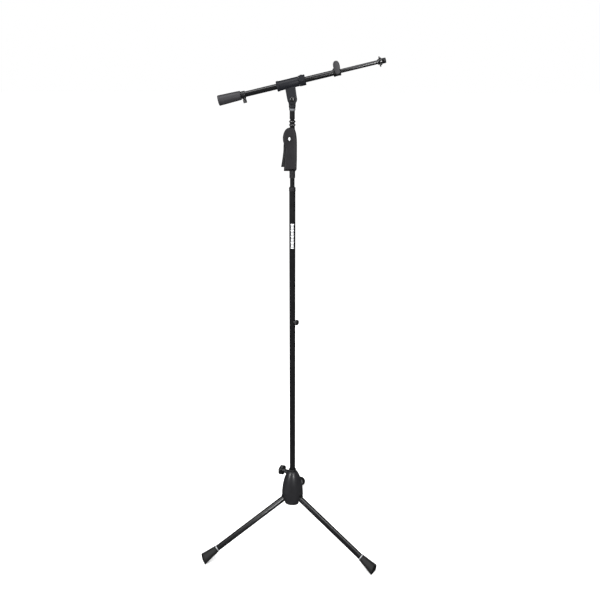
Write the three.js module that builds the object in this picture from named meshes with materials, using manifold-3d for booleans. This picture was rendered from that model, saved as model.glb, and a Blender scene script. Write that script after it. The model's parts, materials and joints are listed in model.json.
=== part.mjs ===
// Boom microphone stand: a folding tripod base, a telescoping column with a
// one-hand clutch, and a telescoping boom with a counterweight.
//
// Units are millimetres and +Z is up. The stand is built around its column axis,
// with the boom in the XZ plane pointing along +X. The tripod is turned so that
// leg 1 points 35 degrees to the right of the boom, seen from above. The finished
// group is then moved so that the origin is the middle of its footprint.
import * as THREE from 'three';
import { mergeVertices } from 'three/addons/utils/BufferGeometryUtils.js';
import Module from 'manifold-3d';

const wasm = await Module();
wasm.setup();

// ---------------------------------------------------------------- dimensions

const GAP = 0.3;          // clearance between touching pieces
const ROUND = 24;         // sides of a large round section
const ROUND_SMALL = 12;   // sides of a small round section
const FAR = 400;          // size of a cutting block, larger than any piece

const degrees = (angle) => angle * Math.PI / 180;

const LEG = {
  count: 3,
  turn: degrees(-35),     // leg 1 from the boom's direction, about the column
  slope: degrees(27.5),   // below horizontal, unfolded
  radius: 10,
  wall: 1.2,
  tubeStart: 12,          // from the fold pivot, along the leg
  tubeEnd: 322,
  ringStart: 290,
  ringWidth: 3,
  footRim: 349,           // where the foot's axis leaves its slanted end
  footRimRadius: 18.5,
  footSlant: degrees(22),
};
const PIVOT = { radius: 25, height: 174.7, pin: 3 };

const HUB = {
  top: 272, bottom: 150, rimRadius: 37, rimHeight: 182, neckRadius: 13.5, wall: 4,
  guideBottom: 215,       // below it the bell is open, and the foot plug can rise
  slotHalf: 10.3, slotTop: 186, cheekStart: 17, cheekEnd: 34, cheekThick: 4.2,
  knobHeight: 259, bossRadius: 8, bossEnd: 27, screwBore: 3.4,
  collarRadius: 13.1, collarTop: 280,
};

const COLUMN = {
  radius: 9.5, wall: 1.2, bottom: 168.5, top: 1248.6,
  collarTop: 1260.8, collarRadius: 10.2, lockHeight: 826, lockBore: 3, lockEnd: 21.2,
  plugBottom: 158, plugRadius: 11, spigot: 14,
};
const COLUMN_BORE = COLUMN.radius - COLUMN.wall;
const HUB_BORE = COLUMN.radius + GAP;
const INNER = { radius: 7, wall: 1.1, bottom: 665, top: 1324 };
const COLLET = { outer: 7.9, wall: 0.7, bottom: 636, innerRadius: 4 };

const CLUTCH = {
  bottom: 1310, top: 1436, halfDepth: 13, edge: 3,
  lobeX: -7.5, lobeZ: 1406, lobeA: 20.4, lobeB: 30,
  pivotX: -8.3, pivotZ: 1405, pin: 2.5, triggerHalf: 7,
  sleeveBottom: 1288, sleeveRadius: 8.8,
};
const ROD = {
  radius: 2, foot: 638, footRadius: 3, wedge: 650, wedgeRadius: 6.9,
  flange: 1341, flangeRadius: 5, springTop: 1385, head: 1408.8, headRadius: 3.6, top: 1412.4,
};

const STUD = { radius: 7.7, bottom: 1422, shoulder: 1458, tip: 1476, tipRadius: 5.4 };
const RING = { radius: 9.7, thick: 4.2, teeth: 20, heights: [1442, 1451.8] };
const SWIVEL = { socketTop: 1484, washerTop: 1491, coneTop: 1500, pivot: 1517 };

const BOOM = {
  tilt: degrees(13.2),    // above horizontal
  lift: 44.6,             // boom axis above the tilt pivot
  outer: 8, outerWall: 1.1, outerStart: -200, outerEnd: 140,
  inner: 5.6, innerWall: 1.1, innerStart: -30, innerEnd: 262,
  tipEnd: 286,
};
const CLAMP = {
  radius: 13.8, start: -27, end: 30.3, rearStart: -35.8, frontEnd: 49.6,
  cheekInner: 3.8, cheekOuter: 8, cheekTopHalf: 14.8, cheekRadius: 14.4,
};
const SLIDE_LOCK = {
  at: 39, rise: degrees(20), halfWide: 9, halfTall: 12.5, start: 15.8, end: 21.4,
};
const WEIGHT = {
  start: -211, end: -143.4, farRadius: 15, nearRadius: 13.2, core: 11.3,
  collarEnd: -129.8, collarRadius: 10.4, screwAt: -135.5, screw: 2.6,
};
const TELESCOPE = {
  start: 132, end: 153.5, radius: 11.8, screwAt: 144, screw: 2.5,
  bossEnd: 13.4, paddleStart: 14, paddleEnd: 19.4,
};
const TIP = { radius: 7.9, ringAt: 267.5, ringRadius: 15, ringTeeth: 24 };

// ----------------------------------------------------------------- materials

const finish = (color, roughness, metalness) => ({ color, roughness, metalness });
const BLACK_PAINT = finish(0x17171a, 0.38, 0.25);
const HUB_PAINT = finish(0x1f1f22, 0.42, 0.2);
const CHARCOAL = finish(0x37363a, 0.62, 0.0);
const BLUE_BLACK = finish(0x2c2f36, 0.6, 0.0);
const KNOB_BLACK = finish(0x121214, 0.45, 0.0);
const RUBBER = finish(0x1b1b1c, 0.85, 0.0);
const STEEL = finish(0x9a9ca0, 0.35, 0.9);
const CHROME = finish(0xc8cace, 0.16, 1.0);
const NYLON = finish(0xc9c6bd, 0.6, 0.0);

// ------------------------------------------------------------ geometry tools

/** Turn a closed outline of [radius, height] points about Z, anticlockwise outline. */
function revolve(outline, sides = ROUND) {
  const points = outline.map(([r, z]) => new THREE.Vector2(r, z));
  const onAxis = points[0].x === 0 && points[points.length - 1].x === 0;
  if (!onAxis) points.push(points[0].clone());
  return new THREE.LatheGeometry(points, sides).rotateX(Math.PI / 2);
}

/** A plain or hollow cylinder along Z. */
function tube(outer, inner, start, end, sides = ROUND) {
  if (inner === 0) return revolve([[0, start], [outer, start], [outer, end], [0, end]], sides);
  return revolve([[inner, start], [outer, start], [outer, end], [inner, end]], sides);
}

const alongX = (geometry) => geometry.rotateY(Math.PI / 2);
const alongY = (geometry) => geometry.rotateX(-Math.PI / 2);

/** A plate whose outline lies in XZ, centred on Y = 0. */
function plate(shape, halfDepth, bevel = 0) {
  const options = {
    depth: 2 * (halfDepth - bevel), curveSegments: 8, bevelEnabled: bevel > 0,
    bevelThickness: bevel, bevelSize: bevel, bevelOffset: -bevel, bevelSegments: 1,
  };
  const geometry = new THREE.ExtrudeGeometry(shape, options);
  return geometry.translate(0, 0, bevel - halfDepth).rotateX(Math.PI / 2);
}

/** A box given by its lowest and highest corners. */
function block(low, high) {
  const size = high.map((value, axis) => value - low[axis]);
  const middle = high.map((value, axis) => (value + low[axis]) / 2);
  return new THREE.BoxGeometry(...size).translate(...middle);
}

function shapeOf(points) {
  return new THREE.Shape(points.map(([x, y]) => new THREE.Vector2(x, y)));
}

/** The manifold solid of a closed three.js geometry. */
function solid(geometry) {
  const plain = geometry.clone();
  plain.deleteAttribute('normal');
  plain.deleteAttribute('uv');
  const merged = mergeVertices(plain, 1e-4);
  const corners = merged.index.array;
  const kept = [];
  for (let i = 0; i < corners.length; i += 3) {
    const [a, b, c] = corners.slice(i, i + 3);
    if (a !== b && b !== c && c !== a) kept.push(a, b, c);
  }
  return new wasm.Manifold(new wasm.Mesh({
    numProp: 3,
    vertProperties: new Float32Array(merged.attributes.position.array),
    triVerts: new Uint32Array(kept),
  }));
}

/** Join the first list of geometries and cut the second list out of them. */
function carve(joined, cut = []) {
  let result = solid(joined[0]);
  for (const geometry of joined.slice(1)) result = result.add(solid(geometry));
  for (const geometry of cut) result = result.subtract(solid(geometry));
  const mesh = result.getMesh();
  const geometry = new THREE.BufferGeometry();
  geometry.setAttribute('position', new THREE.BufferAttribute(mesh.vertProperties, 3));
  geometry.setIndex(new THREE.BufferAttribute(mesh.triVerts, 1));
  geometry.computeVertexNormals();
  return geometry;
}

function piece(name, geometry, look) {
  const mesh = new THREE.Mesh(geometry, new THREE.MeshStandardMaterial(look));
  mesh.name = name;
  return mesh;
}

/** A group that moves as one body, placed at its joint. */
function body(name, place, ...members) {
  const group = new THREE.Group();
  group.name = name;
  group.position.set(...place);
  group.add(...members);
  return group;
}

/** Outline of a round grip with shallow lobes around its edge. */
function lobedShape(radius, lobes, depth, steps = 5) {
  const points = [];
  const total = lobes * steps;
  for (let i = 0; i < total; i += 1) {
    const angle = 2 * Math.PI * i / total;
    const reach = radius - depth * (0.5 - 0.5 * Math.cos(lobes * angle));
    points.push([reach * Math.cos(angle), reach * Math.sin(angle)]);
  }
  return shapeOf(points);
}

/** A lobed grip along Z from start to end, with softened edges. */
function lobedGrip(radius, lobes, depth, start, end, bevel) {
  const options = {
    depth: end - start - 2 * bevel, bevelEnabled: true, bevelThickness: bevel,
    bevelSize: bevel, bevelOffset: -bevel, bevelSegments: 1,
  };
  const grip = new THREE.ExtrudeGeometry(lobedShape(radius, lobes, depth), options);
  return grip.translate(0, 0, start + bevel);
}

// ---------------------------------------------------------------- tripod base

function hubOutline() {
  const { rimRadius, rimHeight, neckRadius, top, bottom, guideBottom } = HUB;
  const bell = new THREE.CubicBezierCurve(
    new THREE.Vector2(rimRadius, rimHeight), new THREE.Vector2(rimRadius - 0.5, rimHeight + 44),
    new THREE.Vector2(24, top - 10), new THREE.Vector2(neckRadius, top),
  );
  const outside = bell.getPoints(7).map((point) => [point.x, point.y]);
  const inside = rimRadius - HUB.wall;
  return [
    [27, bottom], [32.5, bottom + 3], [35.8, bottom + 9], [36.8, bottom + 17],
    ...outside,
    [HUB_BORE, top], [HUB_BORE, guideBottom], [neckRadius, guideBottom],
    [neckRadius, top - 22], [20, top - 26], [27, top - 42], [31, top - 62],
    [inside, rimHeight + 4], [inside, bottom + 15], [31, bottom + 8], [26, bottom + 4],
  ];
}

function hubHousing() {
  const joined = [revolve(hubOutline(), 36)];
  const cut = [];
  const cheekOuter = HUB.slotHalf + HUB.cheekThick;
  for (let leg = 0; leg < LEG.count; leg += 1) {
    const azimuth = legAzimuth(leg);
    for (const side of [-1, 1]) {
      const edges = [side * HUB.slotHalf, side * cheekOuter].sort((a, b) => a - b);
      const low = [HUB.cheekStart, edges[0], HUB.bottom + 10];
      const high = [HUB.cheekEnd, edges[1], HUB.slotTop + 6];
      joined.push(block(low, high).rotateZ(azimuth));
    }
    const slotLow = [HUB.neckRadius - 0.5, -HUB.slotHalf, HUB.bottom - 50];
    const slotHigh = [HUB.rimRadius + 20, HUB.slotHalf, HUB.slotTop];
    cut.push(block(slotLow, slotHigh).rotateZ(azimuth));
    const reach = cheekOuter + 1.5;
    const pinBore = alongY(tube(PIVOT.pin + GAP, 0, -reach, reach, ROUND_SMALL));
    cut.push(pinBore.translate(PIVOT.radius, 0, PIVOT.height).rotateZ(azimuth));
  }
  const boss = alongX(tube(HUB.bossRadius, 0, -HUB.bossEnd, -11, ROUND_SMALL));
  const screwBore = alongX(tube(HUB.screwBore, 0, -HUB.bossEnd - 3, -5, ROUND_SMALL));
  joined.push(boss.translate(0, 0, HUB.knobHeight));
  cut.push(screwBore.translate(0, 0, HUB.knobHeight));
  cut.push(tube(HUB_BORE, 0, HUB.guideBottom - 10, HUB.top + 18));
  return carve(joined, cut);
}

function legAzimuth(leg) {
  return leg * 2 * Math.PI / LEG.count;
}

function hubClampKnob() {
  // Local +Z runs outward along the screw, from the column axis.
  const screw = tube(3, 0, 10.2, 36, ROUND_SMALL);
  const neck = revolve([[0, 28], [7, 28], [8, 33], [12, 38.5], [0, 38.5]], ROUND_SMALL);
  return carve([screw, neck, lobedGrip(18, 6, 2.2, 37, 53, 4)]);
}

function legBlock() {
  const shape = new THREE.Shape();
  shape.absarc(0, 0, 9, Math.PI / 2, 3 * Math.PI / 2, false);
  shape.lineTo(LEG.tubeStart - GAP, -9);
  shape.lineTo(LEG.tubeStart - GAP, 9);
  const spigot = alongX(tube(LEG.radius - LEG.wall - GAP, 0, 5, 34, 24));
  const pinBore = alongY(tube(PIVOT.pin + GAP, 0, -20, 20, ROUND_SMALL));
  return carve([plate(shape, 10), spigot], [pinBore]);
}

/** A rubber foot: a hollow flared cone with a slanted end and a flat to stand on. */
function legFoot() {
  const start = LEG.ringStart + LEG.ringWidth + GAP;
  const long = LEG.footRim + 12;
  const flare = (long - LEG.footRim) * 0.13;
  const cone = alongX(revolve([
    [LEG.radius + GAP, start], [LEG.radius + 2, start], [12.8, start + 8], [14.6, start + 26],
    [LEG.footRimRadius, LEG.footRim], [LEG.footRimRadius + flare, long],
    [0, long], [0, LEG.tubeEnd + GAP], [LEG.radius + GAP, LEG.tubeEnd + GAP],
  ]));
  const slantCut = block([0, -FAR, -FAR], [FAR, FAR, FAR]);
  slantCut.rotateY(-LEG.footSlant).translate(LEG.footRim, 0, 0);
  const ground = block([-FAR, -FAR, -FAR], [FAR, FAR, 0]).translate(0, 0, -PIVOT.height);
  ground.rotateY(-LEG.slope);
  return carve([cone], [slantCut, ground]);
}

function leg(index) {
  const name = `leg_${index + 1}`;
  const bore = LEG.radius - LEG.wall;
  const shank = alongX(tube(LEG.radius, bore, LEG.tubeStart, LEG.tubeEnd, 28));
  const ringEnd = LEG.ringStart + LEG.ringWidth;
  const ring = alongX(tube(LEG.radius + 1.5, LEG.radius + GAP, LEG.ringStart, ringEnd, 28));
  const group = body(
    name, [PIVOT.radius, 0, PIVOT.height],
    piece(`${name}_pivot_block`, legBlock(), KNOB_BLACK),
    piece(`${name}_tube`, shank, BLACK_PAINT),
    piece(`${name}_ring`, ring, CHROME),
    piece(`${name}_foot`, legFoot(), RUBBER),
  );
  group.rotation.y = LEG.slope;
  const turned = new THREE.Group();
  turned.rotation.z = legAzimuth(index);
  turned.add(group);
  return turned;
}

function tripod() {
  const collar = revolve([
    [HUB_BORE, HUB.top + GAP], [HUB.collarRadius, HUB.top + GAP],
    [HUB.collarRadius, HUB.collarTop - 3], [12, HUB.collarTop], [HUB_BORE, HUB.collarTop],
  ]);
  const knob = body('hub_knob', [0, 0, HUB.knobHeight],
    piece('hub_clamp_knob', hubClampKnob(), KNOB_BLACK));
  knob.rotation.y = -Math.PI / 2;
  const group = body('hub', [0, 0, 0],
    piece('hub_housing', hubHousing(), HUB_PAINT),
    piece('hub_collar', collar, KNOB_BLACK),
    knob);
  for (let index = 0; index < LEG.count; index += 1) {
    const pin = alongY(tube(PIVOT.pin, 0, -14.5, 14.5, ROUND_SMALL));
    pin.translate(PIVOT.radius, 0, PIVOT.height).rotateZ(legAzimuth(index));
    group.add(piece(`leg_${index + 1}_pivot_pin`, pin, STEEL), leg(index));
  }
  group.rotation.z = LEG.turn;
  return group;
}

// --------------------------------------------------------------------- column

function columnTube() {
  const wall = tube(COLUMN.radius, COLUMN_BORE, COLUMN.bottom, COLUMN.top);
  return carve([wall], [lockBore()]);
}

function lockBore() {
  return alongX(tube(COLUMN.lockBore, 0, 0, 20, ROUND_SMALL)).translate(0, 0, COLUMN.lockHeight);
}

function heightLockKnob() {
  // Local +Z runs outward along the screw, from the column axis.
  const screw = tube(COLUMN.lockBore - 0.4, 0, COLUMN_BORE - 0.1, 16, ROUND_SMALL);
  return carve([screw, lobedGrip(9, 8, 0.9, 13, COLUMN.lockEnd, 1.8)]);
}

function column() {
  const fit = COLUMN_BORE - GAP;
  const spigotStart = COLUMN.top - COLUMN.spigot;
  const collar = revolve([
    [INNER.radius + GAP, spigotStart], [fit, spigotStart], [fit, COLUMN.top + GAP],
    [COLUMN.collarRadius, COLUMN.top + GAP], [COLUMN.collarRadius, COLUMN.collarTop - 2],
    [COLUMN.collarRadius - 1.6, COLUMN.collarTop], [INNER.radius + GAP, COLUMN.collarTop],
  ]);
  const plug = revolve([
    [0, COLUMN.plugBottom], [COLUMN.plugRadius - 3, COLUMN.plugBottom],
    [COLUMN.plugRadius, COLUMN.plugBottom + 3], [COLUMN.plugRadius, COLUMN.bottom - GAP],
    [fit, COLUMN.bottom - GAP], [fit, COLUMN.bottom + COLUMN.spigot],
    [0, COLUMN.bottom + COLUMN.spigot],
  ]);
  const seat = tube(COLUMN.radius + GAP, 0, COLUMN.lockHeight - 20, COLUMN.lockHeight + 20);
  const boss = alongX(tube(5.5, 0, 7, 12.6, ROUND_SMALL)).translate(0, 0, COLUMN.lockHeight);
  const knob = body('height_lock', [0, 0, COLUMN.lockHeight],
    piece('height_lock_knob', heightLockKnob(), KNOB_BLACK));
  knob.rotation.y = Math.PI / 2;
  return body('column', [0, 0, 0],
    piece('column_tube', columnTube(), BLACK_PAINT),
    piece('column_top_collar', collar, KNOB_BLACK),
    piece('column_foot_plug', plug, KNOB_BLACK),
    piece('height_lock_boss', carve([boss], [seat, lockBore()]), BLACK_PAINT),
    knob);
}

// ------------------------------------------------- inner column and its brake

/** Outline of the clutch in its own XZ plane, trigger side to -X. */
function clutchShape() {
  const shape = new THREE.Shape();
  shape.moveTo(-23, CLUTCH.bottom);
  shape.lineTo(10.5, CLUTCH.bottom);
  shape.lineTo(13.2, CLUTCH.bottom + 5);
  shape.lineTo(14, CLUTCH.bottom + 35);
  shape.lineTo(14, CLUTCH.lobeZ - 18);
  shape.bezierCurveTo(14, CLUTCH.lobeZ + 8, 10, CLUTCH.lobeZ + 24, 5, CLUTCH.top - 1);
  shape.lineTo(CLUTCH.lobeX, CLUTCH.lobeZ + CLUTCH.lobeB);
  shape.absellipse(CLUTCH.lobeX, CLUTCH.lobeZ, CLUTCH.lobeA, CLUTCH.lobeB,
    Math.PI / 2, degrees(222), false, 0);
  shape.lineTo(-20.5, CLUTCH.lobeZ - 30);
  return shape;
}

/** Everything hollow inside the clutch, shared by its two shells. */
function clutchHollows() {
  const slotHalf = CLUTCH.triggerHalf + 0.4;
  return [
    tube(INNER.radius + GAP, 0, CLUTCH.bottom - 5, INNER.top + GAP),
    tube(6.3, 0, INNER.top, ROD.springTop, 24),
    tube(ROD.radius + 0.7, 0, ROD.springTop - 1, 1396, ROUND_SMALL),
    block([-22.5, -slotHalf, 1392], [8, slotHalf, 1417]),
    block([-60, -slotHalf, CLUTCH.bottom - 5], [-9.4, slotHalf, 1417]),
    tube(STUD.radius + GAP, 0, STUD.bottom - GAP, CLUTCH.top + 10),
    alongY(tube(CLUTCH.pin + GAP, 0, -11.4, 11.4, ROUND_SMALL))
      .translate(CLUTCH.pivotX, 0, CLUTCH.pivotZ),
  ];
}

function clutchScrewPlaces() {
  return [[-17, 1424], [10.2, 1398], [9.8, 1318]];
}

function clutchShell(side) {
  const low = side < 0 ? [-FAR, -GAP / 2, 0] : [-FAR, -FAR, 0];
  const high = side < 0 ? [FAR, FAR, 2000] : [FAR, GAP / 2, 2000];
  const screwBores = clutchScrewPlaces().map(([x, z]) =>
    alongY(tube(1.8, 0, -6, 20, 12)).translate(x, 0, z));
  return carve(
    [plate(clutchShape(), CLUTCH.halfDepth, CLUTCH.edge)],
    [block(low, high), ...clutchHollows(), ...screwBores],
  );
}

/** The trigger: a curved lever outside and a short arm that lifts the brake rod. */
function clutchTrigger() {
  const shape = new THREE.Shape();
  shape.moveTo(-17.5, 1396);
  shape.quadraticCurveTo(-20.5, 1360, -22, 1322);
  shape.lineTo(-33.8, 1321.6);
  shape.quadraticCurveTo(-29, 1352, -26.4, 1372);
  shape.lineTo(-26, 1388);
  shape.lineTo(-22.3, 1402);
  shape.lineTo(-15, 1414);
  shape.lineTo(-7, 1414);
  shape.lineTo(-4.6, 1406.4);
  shape.lineTo(4.5, 1406.4);
  shape.lineTo(4.5, 1402.5);
  shape.lineTo(-3, 1401.5);
  shape.lineTo(-10, 1396);
  return carve([plate(shape, CLUTCH.triggerHalf, 0)], [
    alongY(tube(CLUTCH.pin + GAP, 0, -20, 20, ROUND_SMALL))
      .translate(CLUTCH.pivotX, 0, CLUTCH.pivotZ),
    tube(ROD.radius + 0.6, 0, 1390, 1412, ROUND_SMALL),
  ]);
}

/** Brake rod with its spring flange, lifting head and lower wedge, in one turning. */
function brakeRod() {
  const { radius, foot, footRadius, wedge, wedgeRadius, flange, flangeRadius } = ROD;
  return revolve([
    [0, foot], [footRadius, foot], [footRadius, foot + 2], [wedgeRadius, wedge - 2],
    [wedgeRadius, wedge + 2], [radius, wedge + 5],
    [radius, flange], [flangeRadius, flange], [flangeRadius, flange + 2], [radius, flange + 2],
    [radius, ROD.head], [ROD.headRadius, ROD.head], [ROD.headRadius, ROD.top], [0, ROD.top],
  ], ROUND_SMALL);
}

/** Compression spring between the rod's flange and the ledge inside the clutch. */
function brakeSpring() {
  const turns = 5;
  const low = ROD.flange + 3;
  const high = ROD.springTop - 1.5;
  const path = new THREE.CatmullRomCurve3(Array.from({ length: turns * 8 + 1 }, (_, i) => {
    const angle = 2 * Math.PI * i / 8;
    const height = low + (high - low) * i / (turns * 8);
    return new THREE.Vector3(4 * Math.cos(angle), 4 * Math.sin(angle), height);
  }));
  const wire = new THREE.Shape().absarc(0, 0, 0.6, 0, 2 * Math.PI, false);
  return new THREE.ExtrudeGeometry(wire, {
    extrudePath: path, steps: turns * 8, curveSegments: 2, bevelEnabled: false,
  });
}

/** Sleeve that the rod's wedge spreads against the inside of the column. */
function brakeCollet() {
  const { outer, wall, bottom, innerRadius } = COLLET;
  const top = INNER.bottom - GAP;
  return revolve([
    [outer - wall, bottom], [outer, bottom], [outer, top], [innerRadius, top],
    [innerRadius, ROD.wedge + 8], [outer - wall, ROD.wedge + 5],
  ]);
}

function clutchScrew(place) {
  const profile = [[0, 0], [1.5, 0], [1.5, 7], [3, 7], [2.6, 8.6], [0, 8.6]];
  const screw = revolve(profile, 12);
  return alongY(screw).translate(place[0], 6, place[1]);
}

function innerColumn() {
  const bore = INNER.radius - INNER.wall;
  const group = body('inner_column', [0, 0, 0],
    piece('inner_column_tube', tube(INNER.radius, bore, INNER.bottom, INNER.top), BLACK_PAINT),
    piece('brake_collet', brakeCollet(), NYLON),
    piece('clutch_sleeve', tube(CLUTCH.sleeveRadius, INNER.radius + GAP,
      CLUTCH.sleeveBottom, CLUTCH.bottom - GAP), CHARCOAL));

  group.add(
    piece('clutch_shell_front', clutchShell(-1), CHARCOAL),
    piece('clutch_shell_rear', clutchShell(1), CHARCOAL),
    piece('trigger_pin', alongY(tube(CLUTCH.pin, 0, -11, 11, ROUND_SMALL))
      .translate(CLUTCH.pivotX, 0, CLUTCH.pivotZ), STEEL),
    piece('clutch_badge', alongY(revolve([[0, -14.4], [6.2, -14.4], [7, -13.8],
      [7, -13 - GAP], [0, -13 - GAP]], 28))
      .translate(CLUTCH.pivotX, 0, CLUTCH.pivotZ), KNOB_BLACK),
    body('trigger', [CLUTCH.pivotX, 0, CLUTCH.pivotZ],
      piece('clutch_trigger', clutchTrigger()
        .translate(-CLUTCH.pivotX, 0, -CLUTCH.pivotZ), KNOB_BLACK)),
    body('brake', [0, 0, 0],
      piece('brake_rod', brakeRod(), STEEL)),
    piece('brake_spring', brakeSpring(), STEEL),
  );
  clutchScrewPlaces().forEach((place, index) => {
    group.add(piece(`clutch_screw_${index + 1}`, clutchScrew(place), STEEL));
  });

  const stud = revolve([
    [0, STUD.bottom], [STUD.radius, STUD.bottom], [STUD.radius, STUD.shoulder],
    [STUD.tipRadius, STUD.shoulder + 2], [STUD.tipRadius, STUD.tip], [0, STUD.tip],
  ]);
  group.add(piece('boom_stud', stud, BLACK_PAINT));
  RING.heights.forEach((height, index) => {
    const name = index === 0 ? 'lower' : 'upper';
    group.add(body(`${name}_ring`, [0, 0, height],
      piece(`lock_ring_${name}`, lockRing(RING.radius, STUD.radius, RING.thick), STEEL)));
  });
  return group;
}

/** A knurled ring nut along Z, from 0 to its thickness. */
function lockRing(radius, hole, thick) {
  const grip = new THREE.ExtrudeGeometry(
    lobedShape(radius, RING.teeth, 0.7, 2), { depth: thick, bevelEnabled: false });
  return carve([grip], [tube(hole + GAP, 0, -5, thick + 5)]);
}

// ------------------------------------------------------- swivel and boom clamp

function swivelBase() {
  const cone = revolve([
    [0, SWIVEL.washerTop + GAP], [9.3, SWIVEL.washerTop + GAP], [10.6, SWIVEL.coneTop],
    [0, SWIVEL.coneTop],
  ]);
  const half = CLAMP.cheekInner - GAP;
  const shape = new THREE.Shape();
  shape.moveTo(-9.5, SWIVEL.coneTop - 2);
  shape.lineTo(9.5, SWIVEL.coneTop - 2);
  shape.lineTo(12.4, SWIVEL.pivot);
  shape.absarc(0, SWIVEL.pivot, 12.4, 0, Math.PI, false);
  const pinBore = alongY(tube(3 + GAP, 0, -20, 20, ROUND_SMALL)).translate(0, 0, SWIVEL.pivot);
  return carve([cone, plate(shape, half)], [pinBore]);
}

/** Clamp body: a sleeve round the boom and two cheeks that straddle the swivel. */
function clampHousing() {
  const sleeve = alongX(tube(CLAMP.radius, 0, CLAMP.start, CLAMP.end));
  const outline = new THREE.Shape();
  outline.moveTo(-CLAMP.cheekTopHalf, BOOM.lift - 6);
  outline.lineTo(-CLAMP.cheekRadius, 0);
  outline.absarc(0, 0, CLAMP.cheekRadius, Math.PI, 2 * Math.PI, false);
  outline.lineTo(CLAMP.cheekTopHalf, BOOM.lift - 6);
  const slit = plate(shapeOf([[-30, -30], [30, -30], [30, 17], [-30, 17]]), CLAMP.cheekInner);
  return carve(
    [sleeve.translate(0, 0, BOOM.lift), plate(outline, CLAMP.cheekOuter, 1.2)],
    [
      slit,
      alongX(tube(BOOM.outer + GAP, 0, -FAR, FAR)).translate(0, 0, BOOM.lift),
      alongY(tube(3 + GAP, 0, -20, 20, ROUND_SMALL)),
    ],
  );
}

/** Ring cap on one end of the clamp body, along X about the boom axis. */
function rearCap() {
  const hole = BOOM.outer + GAP;
  return alongX(revolve([
    [hole, CLAMP.rearStart], [13.6, CLAMP.rearStart], [14.9, CLAMP.rearStart + 1.6],
    [14.9, CLAMP.start - 1.2 - GAP], [14.1, CLAMP.start - GAP], [hole, CLAMP.start - GAP],
  ])).translate(0, 0, BOOM.lift);
}

function frontCap() {
  const ring = alongX(revolve([
    [0, CLAMP.end + GAP], [15.2, CLAMP.end + GAP], [15.2, CLAMP.frontEnd - 1.5],
    [14, CLAMP.frontEnd], [0, CLAMP.frontEnd],
  ]));
  const boss = alongY(tube(8.5, 0, 0.4 - SLIDE_LOCK.start, 0, 24)).translate(SLIDE_LOCK.at, 0, 0);
  const screwBore = alongY(tube(3 + GAP, 0, -30, 0, ROUND_SMALL));
  screwBore.translate(SLIDE_LOCK.at, 0, 0);
  const boomBore = alongX(tube(BOOM.outer + GAP, 0, -FAR, FAR));
  const cap = carve([ring, boss.rotateX(-SLIDE_LOCK.rise)],
    [boomBore, screwBore.rotateX(-SLIDE_LOCK.rise)]);
  return cap.translate(0, 0, BOOM.lift);
}

/** Oval thumb plate whose screw bears on the boom; local +Z runs outward. */
function slideKnob() {
  const { halfWide, halfTall, start, end } = SLIDE_LOCK;
  const bevel = 1.4;
  const screw = tube(3, 0, BOOM.outer + 0.6, start + 2, ROUND_SMALL);
  const oval = new THREE.Shape().absellipse(0, 0, halfWide, halfTall, 0, 2 * Math.PI, false, 0);
  const plateOptions = {
    depth: end - start - 2 * bevel, curveSegments: 14, bevelEnabled: true,
    bevelThickness: bevel, bevelSize: bevel, bevelOffset: -bevel, bevelSegments: 1,
  };
  const grip = new THREE.ExtrudeGeometry(oval, plateOptions).translate(0, 0, start + bevel);
  return carve([screw, grip]);
}

function tiltKnob() {
  const neck = revolve([[0, 8.3], [7.5, 8.3], [8.5, 12], [8.5, 16], [0, 16]], 24);
  const boltBore = tube(3 + GAP, 0, 0, 20, ROUND_SMALL);
  return carve([neck, lobedGrip(13.4, 5, 2.2, 12.5, 25.5, 3)], [boltBore]);
}

/** Button-head bolt through the cheeks and the swivel; local +Z points to its head. */
function tiltBolt() {
  const bolt = revolve([
    [0, -19.5], [3, -19.5], [3, 8.3], [7.6, 8.3], [7.6, 9.6], [6.4, 11.6], [4.2, 12.6], [0, 12.6],
  ], 24);
  const socket = new THREE.CylinderGeometry(2.6, 2.6, 3.4, 6).rotateX(Math.PI / 2);
  return carve([bolt], [socket.translate(0, 0, 11.4)]);
}

// ----------------------------------------------------------------------- boom

function telescopeCollar() {
  const { start, end, radius, screwAt, screw, bossEnd } = TELESCOPE;
  const ring = alongX(revolve([
    [0, start], [radius - 0.9, start], [radius, start + 1.2],
    [radius, end - 1.2], [radius - 1, end], [0, end],
  ]));
  const boss = alongY(tube(6.5, 0, -bossEnd, 0, ROUND_SMALL)).translate(screwAt, 0, 0);
  return carve([ring, boss], [
    alongX(tube(BOOM.outer + GAP, 0, 0, BOOM.outerEnd + GAP)),
    alongX(tube(BOOM.inner + GAP, 0, 0, FAR)),
    alongY(tube(screw + GAP, 0, -20, 0, ROUND_SMALL)).translate(screwAt, 0, 0),
  ]);
}

/** Egg-shaped thumb paddle on a radial screw; local +Z runs outward, local +Y up. */
function telescopeKnob() {
  const { screw, paddleStart, paddleEnd } = TELESCOPE;
  const bevel = 2.4;
  const egg = new THREE.Shape();
  egg.moveTo(0, -6.8);
  egg.bezierCurveTo(5.5, -6.8, 7.4, -4, 8, 2);
  egg.bezierCurveTo(8.8, 9, 9.6, 12, 9.6, 17);
  egg.bezierCurveTo(9.6, 26, 5.8, 31.2, 0, 31.2);
  egg.bezierCurveTo(-5.8, 31.2, -9.6, 26, -9.6, 17);
  egg.bezierCurveTo(-9.6, 12, -8.8, 9, -8, 2);
  egg.bezierCurveTo(-7.4, -4, -5.5, -6.8, 0, -6.8);
  const paddle = new THREE.ExtrudeGeometry(egg, {
    depth: paddleEnd - paddleStart - 2 * bevel, curveSegments: 4, bevelEnabled: true,
    bevelThickness: bevel, bevelSize: bevel, bevelOffset: -bevel, bevelSegments: 2,
  }).translate(0, 0, paddleStart + bevel);
  return carve([paddle, tube(screw, 0, BOOM.inner + 0.4, paddleStart + 2, ROUND_SMALL)]);
}

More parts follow.
